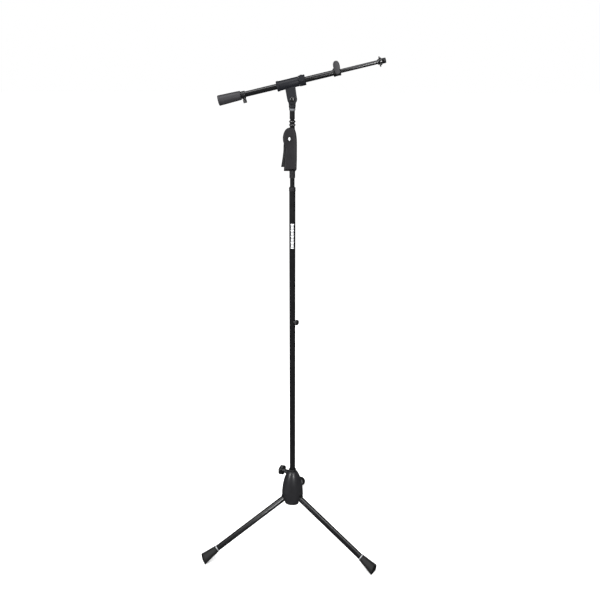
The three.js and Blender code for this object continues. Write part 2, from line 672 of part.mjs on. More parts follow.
function counterweight() {
  const hole = BOOM.outer + GAP;
  const core = tube(WEIGHT.core, hole, WEIGHT.start + 8, WEIGHT.end);
  const grip = WEIGHT.core + GAP;
  const sleeve = revolve([
    [0, WEIGHT.start], [WEIGHT.farRadius - 1.5, WEIGHT.start],
    [WEIGHT.farRadius, WEIGHT.start + 2], [WEIGHT.farRadius, WEIGHT.start + 9],
    [WEIGHT.nearRadius, WEIGHT.end - 1.2], [WEIGHT.nearRadius - 1, WEIGHT.end],
    [grip, WEIGHT.end], [grip, WEIGHT.start + 7], [0, WEIGHT.start + 7],
  ]);
  const collar = carve(
    [alongX(tube(WEIGHT.collarRadius, 0, WEIGHT.end + GAP, WEIGHT.collarEnd)),
      tube(5.6, 0, -12.6, 0, ROUND_SMALL).translate(WEIGHT.screwAt, 0, 0)],
    [alongX(tube(hole, 0, -FAR, FAR)),
      tube(WEIGHT.screw + GAP, 0, -20, 0, ROUND_SMALL).translate(WEIGHT.screwAt, 0, 0)],
  );
  const screw = carve([
    tube(WEIGHT.screw, 0, BOOM.outer + 0.6, 16, ROUND_SMALL),
    lobedGrip(5.4, 6, 0.7, 13, 24, 1.3),
  ]);
  const screwBody = body('weight_screw', [WEIGHT.screwAt, 0, 0],
    piece('counterweight_screw', screw, KNOB_BLACK));
  screwBody.rotation.x = Math.PI;
  return body('weight', [0, 0, 0],
    piece('counterweight_core', alongX(core), STEEL),
    piece('counterweight_sleeve', alongX(sleeve), CHARCOAL),
    piece('counterweight_collar', collar, KNOB_BLACK),
    screwBody);
}

function boomInner() {
  const bore = BOOM.inner - BOOM.innerWall;
  const shank = alongX(tube(BOOM.inner, bore, BOOM.innerStart, BOOM.innerEnd, 28));
  const spigotStart = BOOM.innerEnd - 12;
  const stud = alongX(revolve([
    [0, spigotStart], [bore - GAP, spigotStart], [bore - GAP, BOOM.innerEnd + GAP],
    [TIP.radius - 0.7, BOOM.innerEnd + GAP], [TIP.radius, BOOM.innerEnd + 2],
    [TIP.radius, BOOM.tipEnd - 1], [TIP.radius - 0.9, BOOM.tipEnd], [0, BOOM.tipEnd],
  ]));
  const tipRing = body('tip_ring', [TIP.ringAt, 0, 0],
    piece('boom_tip_ring', alongX(lockFlange()), STEEL));
  return body('boom_inner', [0, 0, 0],
    piece('boom_inner_tube', shank, BLACK_PAINT),
    piece('boom_tip_stud', stud, STEEL),
    tipRing);
}

/** Thin toothed flange with a short hub, along Z from 0. */
function lockFlange() {
  const options = { depth: 2.4, bevelEnabled: false };
  const outline = lobedShape(TIP.ringRadius, TIP.ringTeeth, 1, 2);
  const flange = new THREE.ExtrudeGeometry(outline, options);
  const hub = tube(10.5, 0, 1, 6.5, 28);
  return carve([flange, hub], [tube(TIP.radius + GAP, 0, -5, 30)]);
}

function boom() {
  const bore = BOOM.outer - BOOM.outerWall;
  const shank = alongX(tube(BOOM.outer, bore, BOOM.outerStart, BOOM.outerEnd));
  const knob = body('telescope_lock', [TELESCOPE.screwAt, 0, 0],
    piece('telescope_knob', telescopeKnob(), CHARCOAL));
  knob.rotation.x = Math.PI / 2;
  return body('boom_outer', [0, 0, BOOM.lift],
    piece('boom_outer_tube', shank, BLACK_PAINT),
    piece('telescope_collar', telescopeCollar(), KNOB_BLACK),
    knob, counterweight(), boomInner());
}

function boomClamp() {
  const knobOnSide = (name, part, x, z, turn) => {
    const group = body(name, [x, 0, z], part);
    group.rotation.x = turn;
    return group;
  };
  const clamp = body('boom_clamp', [0, 0, SWIVEL.pivot],
    piece('boom_clamp_housing', clampHousing(), BLUE_BLACK),
    piece('boom_clamp_rear_cap', rearCap(), BLUE_BLACK),
    piece('boom_clamp_front_cap', frontCap(), BLUE_BLACK),
    piece('tilt_bolt', tiltBolt().rotateX(Math.PI / 2), STEEL),
    knobOnSide('tilt_lock', piece('tilt_knob', tiltKnob(), KNOB_BLACK), 0, 0, -Math.PI / 2),
    knobOnSide('slide_lock', piece('boom_slide_knob', slideKnob(), BLUE_BLACK),
      SLIDE_LOCK.at, BOOM.lift, Math.PI / 2 - SLIDE_LOCK.rise),
    boom());
  clamp.rotation.y = -BOOM.tilt;
  return clamp;
}

function swivel() {
  const socket = tube(STUD.radius, STUD.tipRadius + 0.4,
    STUD.shoulder + 2.5, SWIVEL.socketTop);
  const washer = revolve([
    [0, SWIVEL.socketTop + GAP], [8.3, SWIVEL.socketTop + GAP], [9.4, SWIVEL.washerTop - 3],
    [9.4, SWIVEL.washerTop - 1], [8.8, SWIVEL.washerTop], [0, SWIVEL.washerTop],
  ]);
  return body('swivel', [0, 0, 0],
    piece('swivel_socket', socket, BLACK_PAINT),
    piece('swivel_washer', washer, CHROME),
    piece('swivel_base', swivelBase(), BLUE_BLACK),
    boomClamp());
}

// ------------------------------------------------------------------- assembly

function microphoneStand() {
  const outerColumn = column();
  const inner = innerColumn();
  inner.add(swivel());
  outerColumn.add(inner);
  outerColumn.rotation.z = LEG.turn;    // its lock screw stands over leg 1
  inner.rotation.z = -LEG.turn;
  const whole = body('whole', [0, 0, 0], tripod(), outerColumn);
  const bounds = new THREE.Box3().setFromObject(whole, true);
  const middle = bounds.getCenter(new THREE.Vector3());
  whole.position.set(-middle.x, -middle.y, 0);
  const stand = new THREE.Group();
  stand.add(whole);
  stand.updateMatrixWorld(true);
  return stand;
}

export default microphoneStand();
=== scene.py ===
import json
import math

import bmesh
import bpy
from mathutils import Matrix, Vector


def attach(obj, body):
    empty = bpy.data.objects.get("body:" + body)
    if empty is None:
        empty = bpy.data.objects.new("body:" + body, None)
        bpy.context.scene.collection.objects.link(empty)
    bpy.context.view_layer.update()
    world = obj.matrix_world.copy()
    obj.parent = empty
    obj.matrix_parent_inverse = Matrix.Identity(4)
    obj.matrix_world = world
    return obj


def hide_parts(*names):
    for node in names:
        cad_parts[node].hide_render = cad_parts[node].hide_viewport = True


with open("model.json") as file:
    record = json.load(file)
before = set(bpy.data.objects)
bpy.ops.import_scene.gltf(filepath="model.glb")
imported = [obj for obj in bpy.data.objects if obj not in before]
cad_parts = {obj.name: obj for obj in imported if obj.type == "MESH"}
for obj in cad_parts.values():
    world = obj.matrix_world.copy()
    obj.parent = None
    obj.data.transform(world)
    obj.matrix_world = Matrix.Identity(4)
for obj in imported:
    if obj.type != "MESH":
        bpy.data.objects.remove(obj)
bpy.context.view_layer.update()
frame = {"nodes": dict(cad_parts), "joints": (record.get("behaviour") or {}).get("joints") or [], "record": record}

MM = 0.001
GAP = 0.3                                  # clearance between touching pieces
JOINTS = {joint["name"]: joint for joint in frame["joints"]}
MOUNTS = {mount["name"]: mount for mount in frame["record"]["mounts"]}

# ------------------------------------------------------------------ local frames


def local_frame(origin, x_axis, y_axis):
    """Matrix of a frame in millimetres, from its origin and two axes in the row frame."""
    x = Vector(x_axis).normalized()
    y = Vector(y_axis).normalized()
    turn = Matrix((x, y, x.cross(y))).transposed().to_4x4()
    return Matrix.Translation(Vector(origin)) @ turn @ Matrix.Scale(MM, 4)


def shifted(matrix, x=0.0, y=0.0, z=0.0):
    return matrix @ Matrix.Translation((x, y, z))


TO_X = Matrix.Rotation(math.pi / 2, 4, "Y")        # local +Z turned to +X
TO_Y = Matrix.Rotation(-math.pi / 2, 4, "X")       # local +Z turned to +Y
TO_MINUS_Y = Matrix.Rotation(math.pi / 2, 4, "X")
TO_MINUS_X = Matrix.Rotation(-math.pi / 2, 4, "Y")
TO_MINUS_Z = Matrix.Rotation(math.pi, 4, "X")

PIVOT = Vector(JOINTS["boom_tilt"]["pos_m"])
UP = Vector((0, 0, 1))
AXIS_FOOT = Vector((PIVOT.x, PIVOT.y, 0))          # where the column's axis meets the floor
ACROSS_LEG_1 = Vector(JOINTS["leg_1_fold"]["axis"])
COLUMN = local_frame(AXIS_FOOT, ACROSS_LEG_1.cross(UP), ACROSS_LEG_1)     # +X over leg 1
SWIVEL = local_frame(AXIS_FOOT, (1, 0, 0), (0, 1, 0))                     # +X under the boom
TRIGGER_AXIS = Vector(JOINTS["trigger_squeeze"]["axis"])
CLUTCH = local_frame(AXIS_FOOT, UP.cross(TRIGGER_AXIS), -TRIGGER_AXIS)
CLAMP = local_frame(PIVOT, JOINTS["boom_slide"]["axis"], (0, 1, 0))
TIP = CLAMP.inverted() @ Vector(MOUNTS["microphone_clip_thread"]["pos_m"])
BOOM_LIFT = TIP.z
BOOM_END = TIP.x
BOOM = shifted(CLAMP, z=BOOM_LIFT)
LEG_SLOPE = math.radians(27.5)


def leg_frame(number):
    """Frame of one leg: +X runs down the leg from its fold pivot."""
    joint = JOINTS[f"leg_{number}_fold"]
    across = Vector(joint["axis"])
    outward = across.cross(UP)
    down = Matrix.Rotation(LEG_SLOPE, 3, across) @ outward
    return local_frame(joint["pos_m"], down, across)


# --------------------------------------------------------------------- outlines


def rounded(points, radius, steps=4, closed=True):
    """Round the corners of an outline. A point may give its own radius as a third value."""
    result = []
    count = len(points)
    for i, point in enumerate(points):
        here = Vector(point[:2])
        reach = point[2] if len(point) > 2 else radius
        if reach <= 0 or (not closed and i in (0, count - 1)):
            result.append(tuple(here))
            continue
        before = Vector(points[i - 1][:2]) - here
        after = Vector(points[(i + 1) % count][:2]) - here
        angle = before.angle(after, math.pi)
        if angle > math.radians(172):
            result.append(tuple(here))
            continue
        run = min(reach / math.tan(angle / 2), 0.48 * before.length, 0.48 * after.length)
        start = here + before.normalized() * run
        end = here + after.normalized() * run
        for k in range(steps + 1):
            t = k / steps
            bend = start * (1 - t) ** 2 + here * 2 * t * (1 - t) + end * t ** 2
            result.append(tuple(bend))
    return result


def curve_points(start, bend_1, bend_2, end, count):
    """Points of a cubic curve, without its first point."""
    a, b, c, d = (Vector(p) for p in (start, bend_1, bend_2, end))
    points = []
    for k in range(1, count + 1):
        t = k / count
        s = 1 - t
        points.append(tuple(a * s ** 3 + b * 3 * s * s * t + c * 3 * s * t * t + d * t ** 3))
    return points


def arc_points(centre, radius_x, radius_y, start, end, count):
    """Points of an elliptical arc between two angles in degrees."""
    points = []
    for k in range(count + 1):
        angle = math.radians(start + (end - start) * k / count)
        points.append((centre[0] + radius_x * math.cos(angle),
                       centre[1] + radius_y * math.sin(angle)))
    return points


# ----------------------------------------------------------------------- solids


def lathe(profile, sides=64, flutes=0, depth=0.0, grip_from=0.0, sharp=1.0):
    """Turn an outline of (radius, height) about Z. Flutes are cut where radius > grip_from."""
    mesh = bmesh.new()
    rings = []
    for radius, height in profile:
        if radius < 1e-6:
            rings.append([mesh.verts.new((0, 0, height))])
            continue
        ring = []
        for k in range(sides):
            angle = 2 * math.pi * k / sides
            reach = radius
            if flutes and radius > grip_from:
                wave = (0.5 - 0.5 * math.cos(flutes * angle)) ** sharp
                reach = radius - depth * wave * min(1.0, (radius - grip_from) / (2 * depth))
            ring.append(mesh.verts.new((reach * math.cos(angle), reach * math.sin(angle), height)))
        rings.append(ring)
    pairs = list(zip(rings, rings[1:]))
    if len(rings[0]) > 1 or len(rings[-1]) > 1:
        pairs.append((rings[-1], rings[0]))
    for low, high in pairs:
        for k in range(sides):
            corners = [low[k % len(low)], low[(k + 1) % len(low)],
                       high[(k + 1) % len(high)], high[k % len(high)]]
            unique = list(dict.fromkeys(corners))
            if len(unique) > 2:
                mesh.faces.new(unique)
    bmesh.ops.recalc_face_normals(mesh, faces=mesh.faces)
    return mesh


def tube(outer, inner, start, end, edge=0.4, sides=64):
    """A hollow or plain cylinder along Z with softened edges."""
    if inner == 0:
        profile = rounded([(0, start), (outer, start), (outer, end), (0, end)], edge,
                          closed=False)
    else:
        soft = min(edge, 0.4 * (outer - inner))
        profile = rounded([(inner, start), (outer, start), (outer, end), (inner, end)], soft)
    return lathe(profile, sides)


def prism(outline, low, high):
    """An outline in XZ carried along Y from low to high."""
    mesh = bmesh.new()
    near = [mesh.verts.new((x, low, z)) for x, z in outline]
    far = [mesh.verts.new((x, high, z)) for x, z in outline]
    mesh.faces.new(near)
    mesh.faces.new(list(reversed(far)))
    count = len(outline)
    for k in range(count):
        j = (k + 1) % count
        mesh.faces.new((near[j], near[k], far[k], far[j]))
    bmesh.ops.recalc_face_normals(mesh, faces=mesh.faces)
    return mesh


def crowned_prism(outline, low, high, edge, steps=5):
    """A prism along Y whose two ends roll over with an edge of that radius."""
    mesh = bmesh.new()
    layers = []
    for k in range(steps + 1):
        angle = math.pi / 2 * k / steps
        layers.append((low + edge * (1 - math.sin(angle)), edge * (1 - math.cos(angle))))
    layers = [(y, inset) for y, inset in reversed(layers)]
    upper = [(high + low - y, inset) for y, inset in reversed(layers)]
    rings = []
    for y, inset in layers + upper:
        ring = [mesh.verts.new((x, y, z)) for x, z in inset_outline(outline, inset)]
        rings.append(ring)
    count = len(outline)
    mesh.faces.new(rings[0])
    mesh.faces.new(list(reversed(rings[-1])))
    for near, far in zip(rings, rings[1:]):
        for k in range(count):
            j = (k + 1) % count
            mesh.faces.new((near[j], near[k], far[k], far[j]))
    bmesh.ops.recalc_face_normals(mesh, faces=mesh.faces)
    return mesh


def inset_outline(outline, inset):
    """Move every edge of a closed outline inward by that much."""
    area = sum(a[0] * b[1] - b[0] * a[1] for a, b in zip(outline, outline[1:] + outline[:1]))
    turn = 1 if area > 0 else -1
    points = []
    count = len(outline)
    for i, point in enumerate(outline):
        before = (Vector(point) - Vector(outline[i - 1])).normalized()
        after = (Vector(outline[(i + 1) % count]) - Vector(point)).normalized()
        normal_1 = Vector((-before.y, before.x)) * turn
        normal_2 = Vector((-after.y, after.x)) * turn
        middle = (normal_1 + normal_2).normalized()
        share = max(0.5, middle.dot(normal_1))
        points.append(tuple(Vector(point) + middle * (inset / share)))
    return points


def block(low, high):
    """A box cutter."""
    mesh = bmesh.new()
    bmesh.ops.create_cube(mesh, size=1)
    size = Vector(high) - Vector(low)
    middle = (Vector(high) + Vector(low)) / 2
    mesh.transform(Matrix.Translation(middle) @ Matrix.Diagonal((*size, 1)))
    return mesh


def moved(mesh, matrix):
    mesh.transform(matrix)
    return mesh


def joined(*meshes):
    """Several meshes in one, each still its own shell."""
    whole = meshes[0]
    for mesh in meshes[1:]:
        carrier = bpy.data.meshes.new("carrier")
        mesh.to_mesh(carrier)
        mesh.free()
        whole.from_mesh(carrier)
        bpy.data.meshes.remove(carrier)
    return whole


def scratch_object(mesh):
    data = bpy.data.meshes.new("scratch")
    mesh.to_mesh(data)
    mesh.free()
    thing = bpy.data.objects.new("scratch", data)
    bpy.context.scene.collection.objects.link(thing)
    return thing


def shaped(mesh, cuts=(), adds=(), bevel=0.0, bevel_angle=40, bevel_steps=3):
    """Join, cut and bevel a solid; gives the finished mesh data in its local frame."""
    thing = scratch_object(mesh)
    helpers = []
    for operation, tools in (("UNION", adds), ("DIFFERENCE", cuts)):
        for tool in tools:
            helper = scratch_object(tool)
            helpers.append(helper)
            modifier = thing.modifiers.new("shape", "BOOLEAN")
            modifier.operation = operation
            modifier.solver = "EXACT"
            modifier.object = helper
    if bevel > 0:
        modifier = thing.modifiers.new("edges", "BEVEL")
        modifier.width = bevel
        modifier.segments = bevel_steps
        modifier.limit_method = "ANGLE"
        modifier.angle_limit = math.radians(bevel_angle)
        modifier.use_clamp_overlap = True
    view = bpy.context.evaluated_depsgraph_get()
    data = bpy.data.meshes.new_from_object(thing.evaluated_get(view))
    for helper in [thing, *helpers]:
        old = helper.data
        bpy.data.objects.remove(helper)
        bpy.data.meshes.remove(old)
    return data


def piece(name, shape, matrix, look, body, nodes=(), smooth=38):
    """Set a shape down in the row frame, give it its look and fasten it to its body."""
    if isinstance(shape, bmesh.types.BMesh):
        data = bpy.data.meshes.new(name)
        shape.to_mesh(data)
        shape.free()
    else:
        data = shape
    data.transform(matrix)
    data.name = name
    data.polygons.foreach_set("use_smooth", [True] * len(data.polygons))
    data.set_sharp_from_angle(angle=math.radians(smooth))
    data.materials.clear()
    data.materials.append(LOOKS[look])
    thing = bpy.data.objects.new(name, data)
    bpy.context.scene.collection.objects.link(thing)
    if nodes:
        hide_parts(*([nodes] if isinstance(nodes, str) else nodes))
    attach(thing, body)
    return thing


# -------------------------------------------------------------------- materials

MOTTLE_SCALE, SMEAR_SCALE = 42.0, 75.0     # of the uneven colour and the uneven gloss
GRAIN_DEPTH = 0.0002                       # metres
COAT_ROUGHNESS = 0.2
EDGE_FROM, EDGE_TO = 0.53, 0.62            # pointiness where rubbed edges begin and end


def surface(name, color, roughness, metallic=0.0, tint=0.25, rough_spread=0.08,
            grain=900.0, grain_bump=0.12, wear=0.0, wear_color=(0.2, 0.2, 0.2),
            coat=0.0, specular=0.5):
    """Procedural finish: mottled colour, uneven gloss, fine grain and rubbed edges."""
    material = bpy.data.materials.new(name)
    material.use_nodes = True
    nodes = material.node_tree.nodes
    links = material.node_tree.links
    shader = nodes["Principled BSDF"]
    shader.inputs["Metallic"].default_value = metallic
    shader.inputs["Coat Weight"].default_value = coat
    shader.inputs["Coat Roughness"].default_value = COAT_ROUGHNESS
    shader.inputs["Specular IOR Level"].default_value = specular

    place = nodes.new("ShaderNodeTexCoord")
    cloud = nodes.new("ShaderNodeTexNoise")
    cloud.inputs["Scale"].default_value = MOTTLE_SCALE
    cloud.inputs["Detail"].default_value = 5.0
    links.new(place.outputs["Object"], cloud.inputs["Vector"])

    colors = nodes.new("ShaderNodeValToRGB")
    colors.color_ramp.elements[0].position = 0.3
    colors.color_ramp.elements[1].position = 0.7
    colors.color_ramp.elements[0].color = [c * (1 - tint) for c in color] + [1]
    colors.color_ramp.elements[1].color = [min(1, c * (1 + tint)) for c in color] + [1]
    links.new(cloud.outputs["Fac"], colors.inputs["Fac"])
    color_out = colors.outputs["Color"]

    if wear > 0:
        geometry = nodes.new("ShaderNodeNewGeometry")
        edge = nodes.new("ShaderNodeMapRange")
        edge.inputs["From Min"].default_value = EDGE_FROM
        edge.inputs["From Max"].default_value = EDGE_TO
        edge.inputs["To Max"].default_value = wear
        links.new(geometry.outputs["Pointiness"], edge.inputs["Value"])
        mix = nodes.new("ShaderNodeMix")
        mix.data_type = "RGBA"
        mix.inputs["B"].default_value = [*wear_color, 1]
        links.new(edge.outputs["Result"], mix.inputs["Factor"])
        links.new(color_out, mix.inputs["A"])
        color_out = mix.outputs["Result"]
    links.new(color_out, shader.inputs["Base Color"])

    smear = nodes.new("ShaderNodeTexNoise")
    smear.inputs["Scale"].default_value = SMEAR_SCALE
    smear.inputs["Detail"].default_value = 3.0
    links.new(place.outputs["Object"], smear.inputs["Vector"])
    gloss = nodes.new("ShaderNodeMapRange")
    gloss.inputs["To Min"].default_value = max(0.02, roughness - rough_spread)
    gloss.inputs["To Max"].default_value = roughness + rough_spread
    links.new(smear.outputs["Fac"], gloss.inputs["Value"])
    links.new(gloss.outputs["Result"], shader.inputs["Roughness"])

    fine = nodes.new("ShaderNodeTexNoise")
    fine.inputs["Scale"].default_value = grain
    fine.inputs["Detail"].default_value = 2.0
    links.new(place.outputs["Object"], fine.inputs["Vector"])
    bump = nodes.new("ShaderNodeBump")
    bump.inputs["Strength"].default_value = grain_bump
    bump.inputs["Distance"].default_value = GRAIN_DEPTH
    links.new(fine.outputs["Fac"], bump.inputs["Height"])
    links.new(bump.outputs["Normal"], shader.inputs["Normal"])
    return material


LOOKS = {
    "tube": surface("tube_powder_coat", (0.0042, 0.0042, 0.0048), 0.22, tint=0.2,
                    rough_spread=0.02, grain=1400, grain_bump=0.02, specular=0.6),
    "column": surface("column_powder_coat", (0.0050, 0.0050, 0.0055), 0.45, tint=0.2,
                      grain=1100, grain_bump=0.02, specular=0.08),
    "hub": surface("hub_paint", (0.0105, 0.0105, 0.0120), 0.34, tint=0.15,
                   rough_spread=0.05, grain=700, grain_bump=0.12, wear=0.25),
    "clutch": surface("clutch_plastic", (0.0100, 0.0092, 0.0108), 0.5, tint=0.14,
                      grain=1100, grain_bump=0.35, wear=0.3,
                      wear_color=(0.12, 0.12, 0.13), specular=0.22),
    "sleeve": surface("sleeve_plastic", (0.0150, 0.0140, 0.0170), 0.5, tint=0.14,
                      grain=1100, grain_bump=0.35, wear=0.3,
                      wear_color=(0.12, 0.12, 0.13), specular=0.5),
    "clamp": surface("clamp_plastic", (0.0060, 0.0067, 0.0097), 0.46, tint=0.14,
                     grain=1000, grain_bump=0.25, wear=0.3,
                     wear_color=(0.1, 0.1, 0.11), specular=0.28),
    "knob": surface("knob_plastic", (0.0048, 0.0048, 0.0053), 0.36, tint=0.15,
                    grain=900, grain_bump=0.15, wear=0.2, wear_color=(0.08, 0.08, 0.085)),
    "rubber": surface("foot_rubber", (0.0065, 0.0065, 0.0068), 0.62, tint=0.2,
                      grain=600, grain_bump=0.3, specular=0.35),
    "black_steel": surface("black_steel", (0.006, 0.006, 0.0068), 0.24,
                           grain=1200, grain_bump=0.04, specular=0.6, coat=0.3, wear=0.2,
                           wear_color=(0.15, 0.15, 0.155)),
    "steel": surface("turned_steel", (0.42, 0.43, 0.45), 0.3, metallic=1.0, tint=0.08,
                     grain=1500, grain_bump=0.08),
    "chrome": surface("bright_chrome", (0.45, 0.46, 0.48), 0.34, metallic=0.6, tint=0.04,
                      rough_spread=0.03, grain=1500, grain_bump=0.03),
    "washer": surface("dull_chrome", (0.13, 0.135, 0.145), 0.5, metallic=0.5, tint=0.04,
                      rough_spread=0.03, grain=1500, grain_bump=0.03),
    "nylon": surface("nylon", (0.55, 0.53, 0.48), 0.5, tint=0.06, grain=700, grain_bump=0.1),
    "print": surface("white_print", (0.78, 0.79, 0.8), 0.5, tint=0.05, grain=900,
                     grain_bump=0.05),
}

# ------------------------------------------------------------------ tripod base

COLUMN_R = 9.5
LEG_R = 10.0
LEG_WALL = 1.2
PIVOT_R, PIVOT_Z = 25.0, 174.7
SLOT_HALF, SLOT_TOP = 10.3, 186.0
KNOB_Z = 259.0
LEG_ANGLES = [0, 120, 240]


def bell_profile():
    bore = COLUMN_R + GAP
    outside = curve_points((37, 182), (36.5, 226), (24, 262), (13.5, 272), 28)
    skirt = curve_points((27, 150), (33.5, 150), (36.6, 160), (36.9, 172), 10)
    neck = rounded([outside[-1], (bore, 272), (bore, 215), (13.5, 215), (13.5, 250)], 0.5, 2,
                   closed=False)
    inside = [(20, 246), (27, 230), (31, 210), (33, 186), (33, 165), (31, 158), (26, 154)]
    return [(27, 150)] + skirt + [(37, 182)] + outside[:-1] + neck + inside


def hub():
    adds, cuts = [], []
    for degrees in LEG_ANGLES:
        turn = Matrix.Rotation(math.radians(degrees), 4, "Z")
        for side in (-1, 1):
            low, high = sorted((side * SLOT_HALF, side * (SLOT_HALF + 4.2)))
            adds.append(moved(block((17, low, 160), (34, high, 192)), turn))
        slot = rounded([(13, 100), (60, 100), (60, SLOT_TOP), (13, SLOT_TOP)], 0)
        cuts.append(moved(prism(slot, -SLOT_HALF, SLOT_HALF), turn))
        bore = moved(tube(3.3, 0, -16, 16, 0, 32), turn @ Matrix.Translation(
            (PIVOT_R, 0, PIVOT_Z)) @ TO_Y)
        cuts.append(bore)
    boss = lathe(rounded([(0, 11), (8, 11), (8, 26.7), (0, 26.7)], 0.8, closed=False), 48)
    adds.append(moved(boss, Matrix.Translation((0, 0, KNOB_Z)) @ TO_MINUS_X))
    cuts.append(moved(tube(3.4, 0, 5, 30, 0, 32), Matrix.Translation((0, 0, KNOB_Z)) @ TO_MINUS_X))
    cuts.append(tube(COLUMN_R + GAP, 0, 205, 290, 0, 96))
    shape = shaped(lathe(bell_profile(), 144), cuts, adds)
    piece("hub_bell", shape, COLUMN, "hub", "base", "hub_housing", smooth=30)

    collar = rounded([
        (COLUMN_R + GAP, 272.4), (13.0, 272.4), (13.0, 276.6, 1.0), (12.2, 277.4, 0.6),
        (12.2, 279.9, 0.8), (COLUMN_R + GAP, 279.9, 0.3)], 0.3)
    piece("hub_collar_ring", lathe(collar, 96), COLUMN, "knob", "base", "hub_collar")
    for number, degrees in enumerate(LEG_ANGLES, 1):
        turn = Matrix.Rotation(math.radians(degrees), 4, "Z")
        pin = tube(3.0, 0, -14.4, 14.4, 0.6, 32)
        matrix = COLUMN @ turn @ Matrix.Translation((PIVOT_R, 0, PIVOT_Z)) @ TO_Y
        piece(f"leg_pin_{number}", pin, matrix, "chrome", "base", f"leg_{number}_pivot_pin")


def knob_frame(joint_name, frame_matrix, direction):
    """Frame of a screw knob at its joint, with local +Z along the screw, outward."""
    at = frame_matrix.inverted() @ Vector(JOINTS[joint_name]["pos_m"])
    return frame_matrix @ Matrix.Translation(at) @ direction


def hub_knob():
    head = curve_points((11.5, 37.4), (19.5, 37.0), (19.5, 46), (16.5, 50.6), 12)
    crown = curve_points((16.5, 50.6), (12, 53.4), (5, 52.6), (0, 52.6), 8)
    profile = [(0, 10.3)] + rounded(
        [(2.4, 10.3), (3, 11), (3, 28), (6.8, 28.2), (7.2, 31), (8.4, 34.4), (11.5, 37.4)],
        0.8, 3, closed=False) + head + crown
    knob = lathe(profile, 144, flutes=6, depth=2.6, grip_from=12.2)
    matrix = knob_frame("hub_knob_turn", COLUMN, TO_MINUS_X)
    piece("hub_knob_grip", knob, matrix, "knob", "hub_knob", "hub_clamp_knob")


def leg(number):
    matrix = leg_frame(number)
    body = f"leg_{number}"
    eye = arc_points((0, 0), 9, 9, 90, 270, 24) + [(11.7, -9, 1.2), (11.7, 9, 1.2)]
    blockish = crowned_prism(rounded(eye, 0, 3), -10, 10, 1.0, 3)
    spigot = moved(tube(8.5, 0, 5, 34, 0.6, 48), TO_X)
    bore = moved(tube(3.3, 0, -20, 20, 0, 32), TO_Y)
    piece(f"leg_block_{number}", shaped(blockish, [bore], [spigot]), matrix, "knob", body,
          f"leg_{number}_pivot_block")
    shank = tube(LEG_R, LEG_R - LEG_WALL, 12, 322, 0.5, 72)
    piece(f"leg_shank_{number}", shank, matrix @ TO_X, "tube", body, f"leg_{number}_tube")
    ring = lathe(rounded([(10.3, 290), (11.5, 290), (11.5, 293), (10.3, 293)], 0.5), 96)
    piece(f"leg_trim_{number}", ring, matrix @ TO_X, "chrome", body, f"leg_{number}_ring")
    piece(f"leg_foot_{number}_boot", foot(), matrix, "rubber", body, f"leg_{number}_foot")


def foot():
    """Flared rubber boot with moulded ribs, a dished slanted end and a worn flat."""
    rim, slant = 349.0, math.radians(22)
    profile = [(10.3, 293.3), (11.6, 293.3), (12.0, 294.2), (12.2, 297), (11.6, 297.8),
               (11.9, 299), (12.8, 301.3), (14.55, 319.3), (16.6, 335), (18.5, 349),
               (20.06, 361), (0, 361), (0, 322.3), (10.3, 322.3)]
    cone = moved(lathe(rounded(profile, 0.5, 2, closed=False), 96), TO_X)
    cut = moved(block((0, -200, -200), (200, 200, 200)),
                Matrix.Translation((rim, 0, 0)) @ Matrix.Rotation(-slant, 4, "Y"))
    ground = moved(block((-600, -600, -600), (600, 600, 0)),
                   Matrix.Rotation(-LEG_SLOPE, 4, "Y") @ Matrix.Translation((0, 0, -PIVOT_Z)))
    dish = moved(tube(14.6, 0, -2.2, 20, 0.4, 72),
                 Matrix.Translation((rim, 0, 1.0)) @ Matrix.Rotation(-slant, 4, "Y") @ TO_X)
    return shaped(cone, [cut, ground, dish], bevel=0.7, bevel_angle=50, bevel_steps=2)


# ----------------------------------------------------------------------- column


LOCK_Z = 826                               # height of the column's lock screw


def column():
    shank = tube(COLUMN_R, COLUMN_R - 1.2, 168.5, 1248.6, 0.4, 96)
    hole = moved(tube(3, 0, 0, 20, 0, 32), Matrix.Translation((0, 0, LOCK_Z)) @ TO_X)
    piece("column_shank", shaped(shank, [hole]), COLUMN, "column", "column", "column_tube")
    top, bore = 1248.9, 7.3
    collar = rounded([
        (bore, 1234.6), (8.0, 1234.6), (8.0, top), (10.15, top, 0.3), (10.15, 1251.6, 0.5),
        (9.7, 1252.1, 0.2), (9.7, 1252.9, 0.2), (10.15, 1253.4, 0.5), (10.15, 1258.4, 1.4),
        (9.0, 1260.7, 0.5), (bore, 1260.7, 0.4)], 0.3)
    piece("column_collar", lathe(collar, 96), COLUMN, "clutch", "column", "column_top_collar")
    plug = rounded([(0, 158), (8, 158), (11, 161), (11, 168.2), (8, 168.2), (8, 182.5),
                    (0, 182.5)], 0.6, 3, closed=False)
    piece("column_plug", lathe(plug, 72), COLUMN, "knob", "column", "column_foot_plug")

    boss = lathe(rounded([(3.0, 7), (5.5, 7), (5.5, 12.5), (3.0, 12.5)], 0.5), 48)
    boss = moved(boss, Matrix.Translation((0, 0, LOCK_Z)) @ TO_X)
    boss = shaped(boss, [tube(COLUMN_R + GAP, 0, 800, 850, 0, 96)])
    piece("lock_boss", boss, COLUMN, "black_steel", "column", "height_lock_boss")
    knob = screw_knob(2.6, 8.3, 9.0, 13.1, 20.5, 14, 0.8)
    piece("height_knob", knob, knob_frame("height_lock_turn", COLUMN, TO_X), "knob",
          "height_lock", "height_lock_knob")


def screw_knob(screw, screw_start, radius, start, end, flutes, depth, edge=1.2):
    """A small fluted thumb knob on its screw, along Z, with a shallow dished face."""
    profile = [(0, screw_start), (screw, screw_start), (screw, start), (radius * 0.7, start),
               (radius, start + 1.0), (radius, end), (radius * 0.62, end),
               (radius * 0.5, end - 0.9), (0, end - 0.9)]
    outline = rounded(profile, edge, 4, closed=False)
    return lathe(outline, flutes * 10, flutes=flutes, depth=depth, grip_from=radius * 0.8)


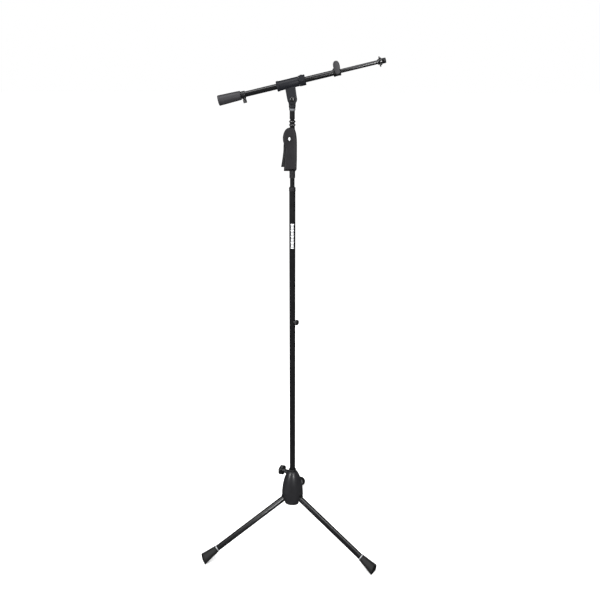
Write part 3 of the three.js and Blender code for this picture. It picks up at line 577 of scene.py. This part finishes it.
MARK_COUNT, MARK_STEPS = 17, 8
MARK_FROM, MARK_PITCH, MARK_TALL = 1071.0, 4.7, 2.5
MARK_INNER_R, MARK_OUTER_R = 9.49, 9.56    # 0.06 mm proud of the column


def scale_print():
    """Plain white height marks on the column, facing the front."""
    facing = math.radians(-55)
    mesh = bmesh.new()
    for k in range(MARK_COUNT):
        half = math.radians(30 if k % 4 == 0 else 24)
        low = MARK_FROM + MARK_PITCH * k
        high = low + MARK_TALL
        rows = []
        for radius, height in ((MARK_INNER_R, low), (MARK_OUTER_R, low),
                               (MARK_OUTER_R, high), (MARK_INNER_R, high)):
            row = []
            for step in range(MARK_STEPS + 1):
                angle = facing - half + 2 * half * step / MARK_STEPS
                row.append(mesh.verts.new(
                    (radius * math.cos(angle), radius * math.sin(angle), height)))
            rows.append(row)
        for a, b in zip(rows, rows[1:] + rows[:1]):
            for step in range(MARK_STEPS):
                mesh.faces.new((a[step], a[step + 1], b[step + 1], b[step]))
        mesh.faces.new([row[0] for row in rows])
        mesh.faces.new([row[MARK_STEPS] for row in reversed(rows)])
    bmesh.ops.recalc_face_normals(mesh, faces=mesh.faces)
    piece("height_scale_marks", mesh, COLUMN, "print", "column")


# ------------------------------------------------------- inner column and clutch

CLUTCH_LOW, CLUTCH_TOP, CLUTCH_HALF = 1310.0, 1436.0, 13.0
TRIGGER_AT = CLUTCH.inverted() @ Vector(JOINTS["trigger_squeeze"]["pos_m"])
SLOT_HALF_WIDTH = 7.4                      # of the slot that the trigger swings in
SHELL_SCREWS = [(-17, 1424), (10.2, 1398), (9.8, 1318)]      # x and z


def clutch_outline():
    left = arc_points((-7.5, 1406), 20.4, 30, 90, 222, 22)
    right = curve_points((14, 1388), (14, 1414), (10, 1430), (5, 1435), 12)
    top = [(-1, 1435.9)]
    lower = rounded([(-20.5, 1376), (-25.6, CLUTCH_LOW, 2.0), (10.5, CLUTCH_LOW, 1.5),
                     (13.2, CLUTCH_LOW + 5, 2.0), (14, CLUTCH_LOW + 35), (14, 1388)],
                    1.0, 4, closed=False)
    return lower + right + top + left


def clutch_hollows(low, high):
    """Cutters for the bores and slots of one shell, and for the half it leaves away."""
    return [
        tube(7.3, 0, CLUTCH_LOW - 5, 1324.3, 0, 64),
        tube(6.3, 0, 1324, 1385, 0, 48),
        tube(2.7, 0, 1384, 1396, 0, 32),
        block((-22.5, -SLOT_HALF_WIDTH, 1392), (8, SLOT_HALF_WIDTH, 1417)),
        block((-60, -SLOT_HALF_WIDTH, CLUTCH_LOW - 5), (-9.4, SLOT_HALF_WIDTH, 1417)),
        tube(8.0, 0, 1421.7, CLUTCH_TOP + 10, 0, 64),
        block((-60, low, CLUTCH_LOW - 20), (60, high, CLUTCH_TOP + 20)),
    ]


def clutch():
    whole = clutch_outline()
    for name, node, low, high in (("clutch_front", "clutch_shell_front", -0.15, 40),
                                  ("clutch_back", "clutch_shell_rear", -40, 0.15)):
        shell = crowned_prism(whole, -CLUTCH_HALF, CLUTCH_HALF, 5.0, 6)
        cuts = clutch_hollows(low, high)
        side = -1 if low > -1 else 1
        cuts.append(moved(ring_groove(9.2, 8.0, 0.7), Matrix.Translation(
            (TRIGGER_AT.x, side * CLUTCH_HALF, TRIGGER_AT.z)) @ TO_Y))
        if side > 0:
            for x, z in SHELL_SCREWS:
                well = tube(3.4, 0, 9.0, 20, 0, 32)
                cuts.append(moved(well, Matrix.Translation((x, 0, z)) @ TO_Y))
        piece(name, shaped(shell, cuts), CLUTCH, "clutch", "inner_column", node, smooth=32)


def ring_groove(outer, inner, half_depth):
    return lathe([(inner, -half_depth), (outer, -half_depth), (outer, half_depth),
                  (inner, half_depth)], 72)


def trigger():
    outer = curve_points((-33.8, 1321.6), (-30.6, 1338), (-27.6, 1358), (-26.4, 1372), 12)
    inner = curve_points((-17.5, 1396), (-19.5, 1372), (-21, 1348), (-22, 1324), 14)
    outline = [(-17.5, 1396)] + inner + rounded(
        [inner[-1], (-22.1, 1321.8, 0.6), (-33.8, 1321.6, 1.8), outer[0]], 1.2, 3, closed=False)
    outline += outer + [(-26, 1388), (-22.3, 1402), (-15, 1414), (-7, 1414), (-4.6, 1406.4),
                        (4.5, 1406.4), (4.5, 1402.5), (-3, 1401.5), (-10, 1396)]
    clean = []
    for point in outline:
        if not clean or (Vector(point) - Vector(clean[-1])).length > 0.05:
            clean.append(point)
    lever = crowned_prism(clean, -7, 7, 0.9, 3)
    pin = moved(tube(2.8, 0, -20, 20, 0, 32),
                Matrix.Translation((TRIGGER_AT.x, 0, TRIGGER_AT.z)) @ TO_Y)
    rod = tube(2.6, 0, 1390, 1412, 0, 32)
    piece("trigger_lever", shaped(lever, [pin, rod]), CLUTCH, "knob", "trigger",
          "clutch_trigger", smooth=30)


def clutch_trim():
    at = Matrix.Translation((TRIGGER_AT.x, 0, TRIGGER_AT.z))
    cap = lathe(rounded([(0, 13.3), (7, 13.3), (7, 14.0, 0.5), (6.4, 14.3, 0.4),
                         (0, 14.3)], 0.2, 3, closed=False), 96)
    piece("badge_cap", cap, CLUTCH @ at @ TO_MINUS_Y, "knob", "inner_column", "clutch_badge")
    mark = joined(arrow(1), arrow(-1))
    piece("badge_mark", mark, CLUTCH @ at, "print", "inner_column")
    pin = tube(2.5, 0, -11, 11, 0.3, 32)
    piece("trigger_axle", pin, CLUTCH @ at @ TO_Y, "chrome", "inner_column", "trigger_pin")

    low = 1288.0
    steps = [(7.3, low), (8.1, low, 0.3), (8.8, low + 1.2, 0.5)]
    for k in range(3):
        groove = low + 5.0 + 4.5 * k
        steps += [(8.8, groove, 0.2), (8.35, groove + 0.5, 0.2), (8.35, groove + 1.1, 0.2),
                  (8.8, groove + 1.6, 0.2)]
    steps += [(8.8, 1309.6, 0.4), (7.3, 1309.6, 0.2)]
    piece("lower_sleeve", lathe(rounded(steps, 0.3, 2), 96), COLUMN, "clutch", "inner_column",
          "clutch_sleeve")
    for number, (x, z) in enumerate(SHELL_SCREWS, 1):
        head = lathe(rounded([(0, 6), (1.5, 6), (1.5, 9.4), (3, 9.4), (2.6, 11.4), (0, 11.4)],
                             0.3, 2, closed=False), 36)
        screw = shaped(head, cross_slot(11.4))
        piece(f"shell_screw_{number}", screw, CLUTCH @ Matrix.Translation((x, 0, z)) @ TO_Y,
              "black_steel", "inner_column", f"clutch_screw_{number}")


def cross_slot(top):
    return [block((-1.9, -0.35, top - 0.9), (1.9, 0.35, top + 1)),
            block((-0.35, -1.9, top - 0.9), (0.35, 1.9, top + 1))]


def arrow(way):
    """One of two plain triangles that mark up and down."""
    outline = [(-3.4, way * 0.6), (3.4, way * 0.6), (0, way * 5.4)]
    return prism(rounded(outline, 0.35, 2), -14.36, -14.2)


def inner_tube():
    piece("inner_shank", tube(7.0, 5.9, 665, 1324, 0.3, 72), COLUMN, "column", "inner_column",
          "inner_column_tube")
    stud = [(0, 1422), (7.7, 1422), (7.7, 1437)]
    for k in range(9):
        stud += [(7.7, 1437.4 + k * 2.2), (7.25, 1438.5 + k * 2.2)]
    stud += [(7.7, 1457.6), (6.9, 1458), (5.4, 1460), (5.4, 1475.6), (5.0, 1476), (0, 1476)]
    piece("stud_shank", lathe(rounded(stud, 0.2, 2, closed=False), 96), COLUMN, "column",
          "inner_column", "boom_stud")
    for name in ("lower", "upper"):
        ring = rounded([(8.05, 0), (8.8, 0), (9.7, 0.8), (9.7, 3.4), (8.8, 4.2), (8.05, 4.2)],
                       0.3, 2)
        shape = lathe(ring, 240, flutes=30, depth=0.45, grip_from=9.0)
        at = COLUMN @ Matrix.Translation(
            COLUMN.inverted() @ Vector(JOINTS[f"{name}_ring_turn"]["pos_m"]))
        piece(f"ring_nut_{name}", shape, at, "black_steel", f"{name}_ring",
              f"lock_ring_{name}")


# ------------------------------------------------------ swivel and boom clamp

PIVOT_HEIGHT = (COLUMN.inverted() @ PIVOT).z


def swivel():
    socket = rounded([(5.8, 1460.5), (7.1, 1460.5), (7.7, 1461.3), (7.7, 1484), (5.8, 1484)],
                     0.3, 3)
    piece("swivel_shank", lathe(socket, 96), SWIVEL, "column", "swivel", "swivel_socket")
    washer = rounded([(0, 1484.3), (8.3, 1484.3), (9.4, 1487.6, 1.2), (9.4, 1490.2, 0.8),
                      (8.9, 1491.0, 0.4), (0, 1491.0)], 0.4, 4, closed=False)
    piece("bright_washer", lathe(washer, 96), SWIVEL, "washer", "swivel", "swivel_washer")
    cone = lathe(rounded([(0, 1491.3), (9.3, 1491.3), (10.6, 1500, 1.2), (0, 1500)], 0.5, 4,
                         closed=False), 96)
    tongue = [(-9.5, 1497), (9.5, 1497), (12.4, PIVOT_HEIGHT)]
    tongue += arc_points((0, PIVOT_HEIGHT), 12.4, 12.4, 6, 180, 30)
    plate = prism(tongue, -3.5, 3.5)
    bore = moved(tube(3.3, 0, -20, 20, 0, 32), Matrix.Translation((0, 0, PIVOT_HEIGHT)) @ TO_Y)
    piece("swivel_knuckle", shaped(cone, [bore], [plate]), SWIVEL, "clamp", "swivel",
          "swivel_base")


CLAMP_START, CLAMP_END = -27.0, 30.3
REAR_START, FRONT_END = -35.8, 49.6
BOOM_R = 8.0
BOOM_HOLE = BOOM_R + GAP
SLIDE_LOCK_X = 39.0
SLIDE_LOCK_RISE = math.radians(20)
TO_SLIDE_LOCK = Matrix.Rotation(math.pi / 2 - SLIDE_LOCK_RISE, 4, "X")


def clamp_body():
    sleeve = lathe(rounded([(0, CLAMP_START), (13.8, CLAMP_START), (13.8, CLAMP_END),
                            (0, CLAMP_END)], 0.5, 3, closed=False), 128)
    moved(sleeve, Matrix.Translation((0, 0, BOOM_LIFT)) @ TO_X)
    outline = [(-12.8, BOOM_LIFT - 5), (-12.8, BOOM_LIFT - 8)]
    outline += curve_points((-12.8, BOOM_LIFT - 8), (-13.4, 25), (-14.4, 10), (-14.4, 0), 8)
    outline += arc_points((0, 0), 14.4, 14.4, 180, 360, 36)[1:]
    outline += curve_points((14.4, 0), (14.6, 10), (16.4, 25), (17.2, BOOM_LIFT - 8), 8)
    outline += [(17.2, BOOM_LIFT - 5)]
    cheeks = crowned_prism(outline, -8, 8, 1.4, 4)
    slit = prism([(-30, -30), (30, -30), (30, 17), (-30, 17)], -3.8, 3.8)
    boom_bore = moved(tube(BOOM_HOLE, 0, -200, 200, 0, 96),
                      Matrix.Translation((0, 0, BOOM_LIFT)) @ TO_X)
    bolt_bore = moved(tube(3.3, 0, -20, 20, 0, 32), TO_Y)
    panel = rounded([(-10.4, 15), (11.4, 15), (13.2, BOOM_LIFT - 15.5), (-9.6, BOOM_LIFT - 15.5)],
                    2.0, 4)
    sunk = [prism(panel, -9, -7.6), prism(panel, 7.6, 9)]
    seat = moved(tube(9.4, 0, 7.6, 9, 0, 64), TO_MINUS_Y)
    shape = shaped(sleeve, [slit, boom_bore, bolt_bore, seat, *sunk], [cheeks])
    piece("clamp_shell", shape, CLAMP, "clamp", "boom_clamp", "boom_clamp_housing", smooth=32)


def clamp_caps():
    rear = rounded([(BOOM_HOLE, REAR_START), (13.7, REAR_START, 0.5), (14.9, REAR_START + 1.1, 0.4),
                    (14.9, REAR_START + 4.2, 0.2), (14.4, REAR_START + 4.6, 0.15),
                    (14.4, REAR_START + 5.3, 0.15), (14.9, REAR_START + 5.7, 0.2),
                    (14.9, CLAMP_START - 1.2, 0.4), (14.1, CLAMP_START - GAP, 0.3),
                    (BOOM_HOLE, CLAMP_START - GAP)], 0.4, 4)
    piece("clamp_rear_ring", lathe(rear, 128), BOOM @ TO_X, "clamp", "boom_clamp",
          "boom_clamp_rear_cap")
    ring = lathe(rounded([(0, CLAMP_END + GAP), (14.5, CLAMP_END + GAP, 0.3),
                          (15.2, CLAMP_END + 1.0, 0.3), (15.2, FRONT_END - 1.2, 0.5),
                          (14.1, FRONT_END, 0.4), (0, FRONT_END)], 0.5, 4, closed=False), 128)
    moved(ring, TO_X)
    at = Matrix.Translation((SLIDE_LOCK_X, 0, 0)) @ TO_SLIDE_LOCK
    boss = moved(tube(8.5, 0, 0, 15.4, 0.5, 64), at)
    cuts = [moved(tube(BOOM_HOLE, 0, -200, 200, 0, 96), TO_X),
            moved(tube(3.3, 0, 0, 30, 0, 32), at)]
    piece("clamp_front_ring", shaped(ring, cuts, [boss]), BOOM, "clamp",
          "boom_clamp", "boom_clamp_front_cap", smooth=32)


def slide_knob():
    """Oval thumb plate with a raised rim round its face."""
    start, end = 15.8, 21.4
    rim = arc_points((0, 0), 8.8, 10.4, 0, 360, 96)[:-1]
    plate = moved(crowned_prism(rim, start, end, 1.1, 4), TO_MINUS_Y)
    screw = tube(3, 0, BOOM_R + 0.6, start + 2, 0.3, 32)
    inside = arc_points((0, 0), 6.7, 8.3, 0, 360, 96)[:-1]
    face = moved(prism(inside, end - 0.8, end + 5), TO_MINUS_Y)
    piece("slide_disc", shaped(plate, [face], [screw]),
          knob_frame("slide_knob_turn", CLAMP, TO_SLIDE_LOCK), "clamp", "slide_lock",
          "boom_slide_knob")


def tilt_fittings():
    head = [(0, -19.4), (2.6, -19.4), (3, -19), (3, 8.3), (7.6, 8.3), (7.6, 9.4)]
    head += curve_points((7.6, 9.4), (7.2, 11.4), (4.6, 12.6), (0, 12.6), 10)
    socket = tube(2.6, 0, 9.6, 14, 0, 6)
    piece("tilt_bolt_head", shaped(lathe(head, 96), [socket]), CLAMP @ TO_MINUS_Y, "black_steel",
          "boom_clamp", "tilt_bolt", smooth=30)
    profile = [(3.3, 8.4), (7.5, 8.4, 0.6), (8.5, 12, 0.8), (11, 12.8, 0.8), (13.4, 14.2, 1.2),
               (13.4, 23, 2.2), (9.5, 25.4, 1.4), (6, 24.4, 0.6), (3.3, 24.4, 0.3)]
    knob = lathe(rounded(profile, 0.6, 5), 160, flutes=5, depth=2.2, grip_from=9.2)
    piece("tilt_grip", knob, CLAMP @ TO_Y, "knob", "tilt_lock", "tilt_knob")


# ------------------------------------------------------------------------- boom

TUBE_START, TUBE_END = -200.0, 140.0       # of the boom's outer tube
LOCK_START, LOCK_END, LOCK_R = 132.0, 153.5, 11.8
LOCK_SCREW_X = 144.0
WEIGHT_START, WEIGHT_END = -211.0, -143.4
COLLAR_END = -129.8
WEIGHT_SCREW_X = -135.5


def boom_tubes():
    piece("boom_outer_shank", tube(BOOM_R, 6.9, TUBE_START, TUBE_END, 0.3, 96),
          BOOM @ TO_X, "tube", "boom_outer", "boom_outer_tube")
    piece("boom_inner_shank", tube(5.6, 4.5, -30, 262, 0.3, 96), BOOM @ TO_X, "tube",
          "boom_inner", "boom_inner_tube")
    stud = [(0, 250), (4.2, 250), (4.2, 262.3), (7.2, 262.3, 0.3), (7.9, 263.4, 0.3),
            (7.9, 274.4)]
    for k in range(11):
        stud += [(7.9, 274.7 + k * 0.94), (7.35, 275.17 + k * 0.94)]
    stud += [(7.5, BOOM_END - 0.8), (7.0, BOOM_END), (0, BOOM_END)]
    piece("tip_thread", lathe(rounded(stud, 0.1, 2, closed=False), 96), BOOM @ TO_X,
          "black_steel", "boom_inner", "boom_tip_stud", smooth=25)
    flange = rounded([(8.2, 0), (14.4, 0), (15, 0.5), (15, 1.9), (14.4, 2.4), (10.8, 2.4),
                      (10.5, 2.8), (10.5, 6.0), (9.9, 6.5), (8.2, 6.5)], 0.25, 2)
    ring = lathe(flange, 240, flutes=24, depth=0.95, grip_from=13.0)
    at = BOOM.inverted() @ Vector(JOINTS["tip_ring_turn"]["pos_m"])
    piece("tip_flange", ring, BOOM @ Matrix.Translation(at) @ TO_X, "black_steel", "tip_ring",
          "boom_tip_ring")


def telescope_lock():
    ring = lathe(rounded([(0, LOCK_START), (LOCK_R - 0.9, LOCK_START, 0.4),
                          (LOCK_R, LOCK_START + 1.2, 0.4), (LOCK_R, LOCK_START + 4.6, 0.2),
                          (LOCK_R - 0.5, LOCK_START + 5.0, 0.2),
                          (LOCK_R - 0.5, LOCK_END - 4.6, 0.2), (LOCK_R, LOCK_END - 4.2, 0.2),
                          (LOCK_R, LOCK_END - 1.2, 0.4), (LOCK_R - 1, LOCK_END, 0.4),
                          (0, LOCK_END)], 0.4, 4, closed=False), 96)
    moved(ring, TO_X)
    at = Matrix.Translation((LOCK_SCREW_X, 0, 0)) @ TO_MINUS_Y
    boss = moved(tube(6.5, 0, 0, 13.4, 0.5, 48), at)
    cuts = [moved(tube(BOOM_HOLE, 0, 0, TUBE_END + GAP, 0, 96), TO_X),
            moved(tube(5.9, 0, 0, 400, 0, 96), TO_X),
            moved(tube(2.8, 0, 0, 20, 0, 32), at)]
    piece("telescope_ring", shaped(ring, cuts, [boss]), BOOM, "knob", "boom_outer",
          "telescope_collar", smooth=32)

    egg = curve_points((0, -6.8), (5.5, -6.8), (7.4, -4), (8, 2), 10)
    egg += curve_points((8, 2), (8.8, 9), (9.6, 12), (9.6, 17), 8)
    egg += curve_points((9.6, 17), (9.6, 26), (5.8, 31.2), (0, 31.2), 12)
    egg += [(-x, z) for x, z in reversed(egg[:-1])] + [(0, -6.8)]
    paddle = crowned_prism(egg, -19.4, -14.0, 2.5, 6)
    screw = moved(tube(2.5, 0, 6.0, 16, 0.3, 48), TO_MINUS_Y)
    at = knob_frame("telescope_knob_turn", BOOM, Matrix.Identity(4))
    piece("telescope_wing", shaped(paddle, adds=[screw]), at, "sleeve",
          "telescope_lock", "telescope_knob", smooth=32)


def counterweight():
    core = tube(11.3, BOOM_HOLE, WEIGHT_START + 8, WEIGHT_END, 0.5, 72)
    piece("weight_core", core, BOOM @ TO_X, "steel", "weight", "counterweight_core")
    far, near, grip = 15.0, 13.2, 11.6
    profile = [(0, WEIGHT_START + 0.6), (11.4, WEIGHT_START + 0.6), (11.9, WEIGHT_START, 0.3),
               (far - 1.1, WEIGHT_START, 0.4), (far, WEIGHT_START + 1.1, 0.5),
               (far, WEIGHT_START + 6.0, 0.3), (far - 0.5, WEIGHT_START + 6.5, 0.2),
               (far - 0.5, WEIGHT_START + 7.6, 0.2), (far - 0.05, WEIGHT_START + 8.1, 0.3),
               (near + 0.1, WEIGHT_END - 5.5, 0.3), (near - 0.3, WEIGHT_END - 5.1, 0.2),
               (near - 0.3, WEIGHT_END - 4.3, 0.2), (near, WEIGHT_END - 3.9, 0.2),
               (near, WEIGHT_END - 0.9, 0.5), (near - 0.8, WEIGHT_END, 0.3),
               (grip, WEIGHT_END, 0.3), (grip, WEIGHT_START + 7), (0, WEIGHT_START + 7)]
    piece("weight_sleeve", lathe(rounded(profile, 0.3, 4, closed=False), 128), BOOM @ TO_X,
          "sleeve", "weight", "counterweight_sleeve")
    ring = moved(lathe(rounded([(BOOM_HOLE, WEIGHT_END + GAP), (10.4, WEIGHT_END + GAP, 0.4),
                                (10.4, COLLAR_END, 0.7), (BOOM_HOLE, COLLAR_END, 0.3)],
                               0.4, 4), 96), TO_X)
    at = Matrix.Translation((WEIGHT_SCREW_X, 0, 0)) @ TO_MINUS_Z
    boss = moved(tube(5.6, 0, 6, 12.5, 0.4, 48), at)
    cuts = [moved(tube(BOOM_HOLE, 0, -400, 0, 0, 96), TO_X),
            moved(tube(2.9, 0, 0, 20, 0, 32), at)]
    piece("weight_collar", shaped(ring, cuts, [boss]), BOOM, "knob", "weight",
          "counterweight_collar", smooth=32)
    screw = screw_knob(2.6, 8.6, 5.4, 13.1, 23.9, 10, 0.55, 0.8)
    piece("weight_thumb_screw", screw,
          knob_frame("counterweight_screw_turn", BOOM, TO_MINUS_Z), "knob", "weight_screw",
          "counterweight_screw")


# --------------------------------------------------------------- inner workings


def inner_workings():
    """The brake's own CAD solids stay, with a finish of their own."""
    for node, look in (("brake_rod", "steel"), ("brake_spring", "steel"),
                       ("brake_collet", "nylon")):
        part = frame["nodes"][node]
        part.data.materials.clear()
        part.data.materials.append(LOOKS[look])


# ---------------------------------------------------------------- studio, camera

VIEW_PLACE = Vector((0.0244, -2.1215, 1.615))        # from the foot of the column's axis
VIEW_DOWN = math.radians(18.643)
VIEW_ROLL = math.radians(0.173)
VIEW_LENS = 42.0
FLOOR_HALF = 40.0
FLOOR_DROP = 0.0004                        # keeps the feet's flats clear of the floor
AIM_HEIGHT = 0.8                           # the lamps aim at the middle of the stand
WORLD_DIFFUSE = 1.08                       # keeps the pale floor white to the horizon
WORLD_GLOSSY = 0.05                        # dark enough for black paint to stay black
SOFTBOXES = (
    # name, azimuth and elevation in degrees, distance, width and height in metres, watts
    ("top_strip", 0, 74, 3.2, 5.0, 1.5, 100),
    ("band_left", -54, 17, 3.0, 0.5, 1.4, 62),
    ("band_front", 20, 17, 3.0, 0.4, 1.4, 47),
)


def camera():
    data = bpy.data.cameras.new("photo_camera")
    data.lens = VIEW_LENS
    data.sensor_width = 36.0
    data.clip_end = 50
    thing = bpy.data.objects.new("photo_camera", data)
    bpy.context.scene.collection.objects.link(thing)
    turn = (Matrix.Rotation(math.pi / 2 - VIEW_DOWN, 4, "X")
            @ Matrix.Rotation(VIEW_ROLL, 4, "Z"))
    thing.location = AXIS_FOOT + VIEW_PLACE
    thing.rotation_euler = turn.to_euler()
    bpy.context.scene.camera = thing


def floor():
    mesh = bmesh.new()
    corners = [mesh.verts.new((x * FLOOR_HALF, y * FLOOR_HALF, -FLOOR_DROP))
               for x, y in ((-1, -1), (1, -1), (1, 1), (-1, 1))]
    mesh.faces.new(corners)
    data = bpy.data.meshes.new("studio_floor")
    mesh.to_mesh(data)
    mesh.free()
    thing = bpy.data.objects.new("studio_floor", data)
    bpy.context.scene.collection.objects.link(thing)
    white = bpy.data.materials.new("floor_white")
    white.use_nodes = True
    shader = white.node_tree.nodes["Principled BSDF"]
    shader.inputs["Base Color"].default_value = (0.97, 0.97, 0.97, 1)
    shader.inputs["Roughness"].default_value = 0.9
    shader.inputs["Specular IOR Level"].default_value = 0.0
    data.materials.append(white)
    thing.visible_glossy = False


def softbox(name, azimuth, elevation, distance, width, height, power):
    """A soft panel light; azimuth 0 is the front, and +X is positive."""
    data = bpy.data.lights.new(name, "AREA")
    data.shape = "RECTANGLE"
    data.size, data.size_y = width, height
    data.energy = power
    thing = bpy.data.objects.new(name, data)
    bpy.context.scene.collection.objects.link(thing)
    a, e = math.radians(azimuth), math.radians(elevation)
    way = Vector((math.sin(a) * math.cos(e), -math.cos(a) * math.cos(e), math.sin(e)))
    target = AXIS_FOOT + Vector((0, 0, AIM_HEIGHT))
    thing.location = target + way * distance
    thing.rotation_euler = (-way).to_track_quat("-Z", "Y").to_euler()
    thing.visible_camera = False


def studio():
    world = bpy.data.worlds.new("studio")
    bpy.context.scene.world = world
    world.use_nodes = True
    nodes = world.node_tree.nodes
    links = world.node_tree.links
    path = nodes.new("ShaderNodeLightPath")
    output = nodes["World Output"].inputs["Surface"]
    shade = nodes["Background"]
    shade.inputs["Color"].default_value = (1, 1, 1, 1)
    shade.inputs["Strength"].default_value = WORLD_DIFFUSE
    for ray, strength in (("Is Glossy Ray", WORLD_GLOSSY), ("Is Camera Ray", 1.0)):
        seen = nodes.new("ShaderNodeBackground")
        seen.inputs["Color"].default_value = (1, 1, 1, 1)
        seen.inputs["Strength"].default_value = strength
        mix = nodes.new("ShaderNodeMixShader")
        links.new(path.outputs[ray], mix.inputs["Fac"])
        links.new(shade.outputs[0], mix.inputs[1])
        links.new(seen.outputs["Background"], mix.inputs[2])
        shade = mix
    links.new(shade.outputs["Shader"], output)
    for box in SOFTBOXES:
        softbox(*box)
    bpy.context.scene.view_settings.view_transform = "Standard"


# ------------------------------------------------------------------------- main

hub()
hub_knob()
for leg_number in range(1, len(LEG_ANGLES) + 1):
    leg(leg_number)
column()
scale_print()
clutch()
trigger()
clutch_trim()
inner_tube()
swivel()
clamp_body()
clamp_caps()
slide_knob()
tilt_fittings()
boom_tubes()
telescope_lock()
counterweight()
inner_workings()
floor()
studio()
camera()
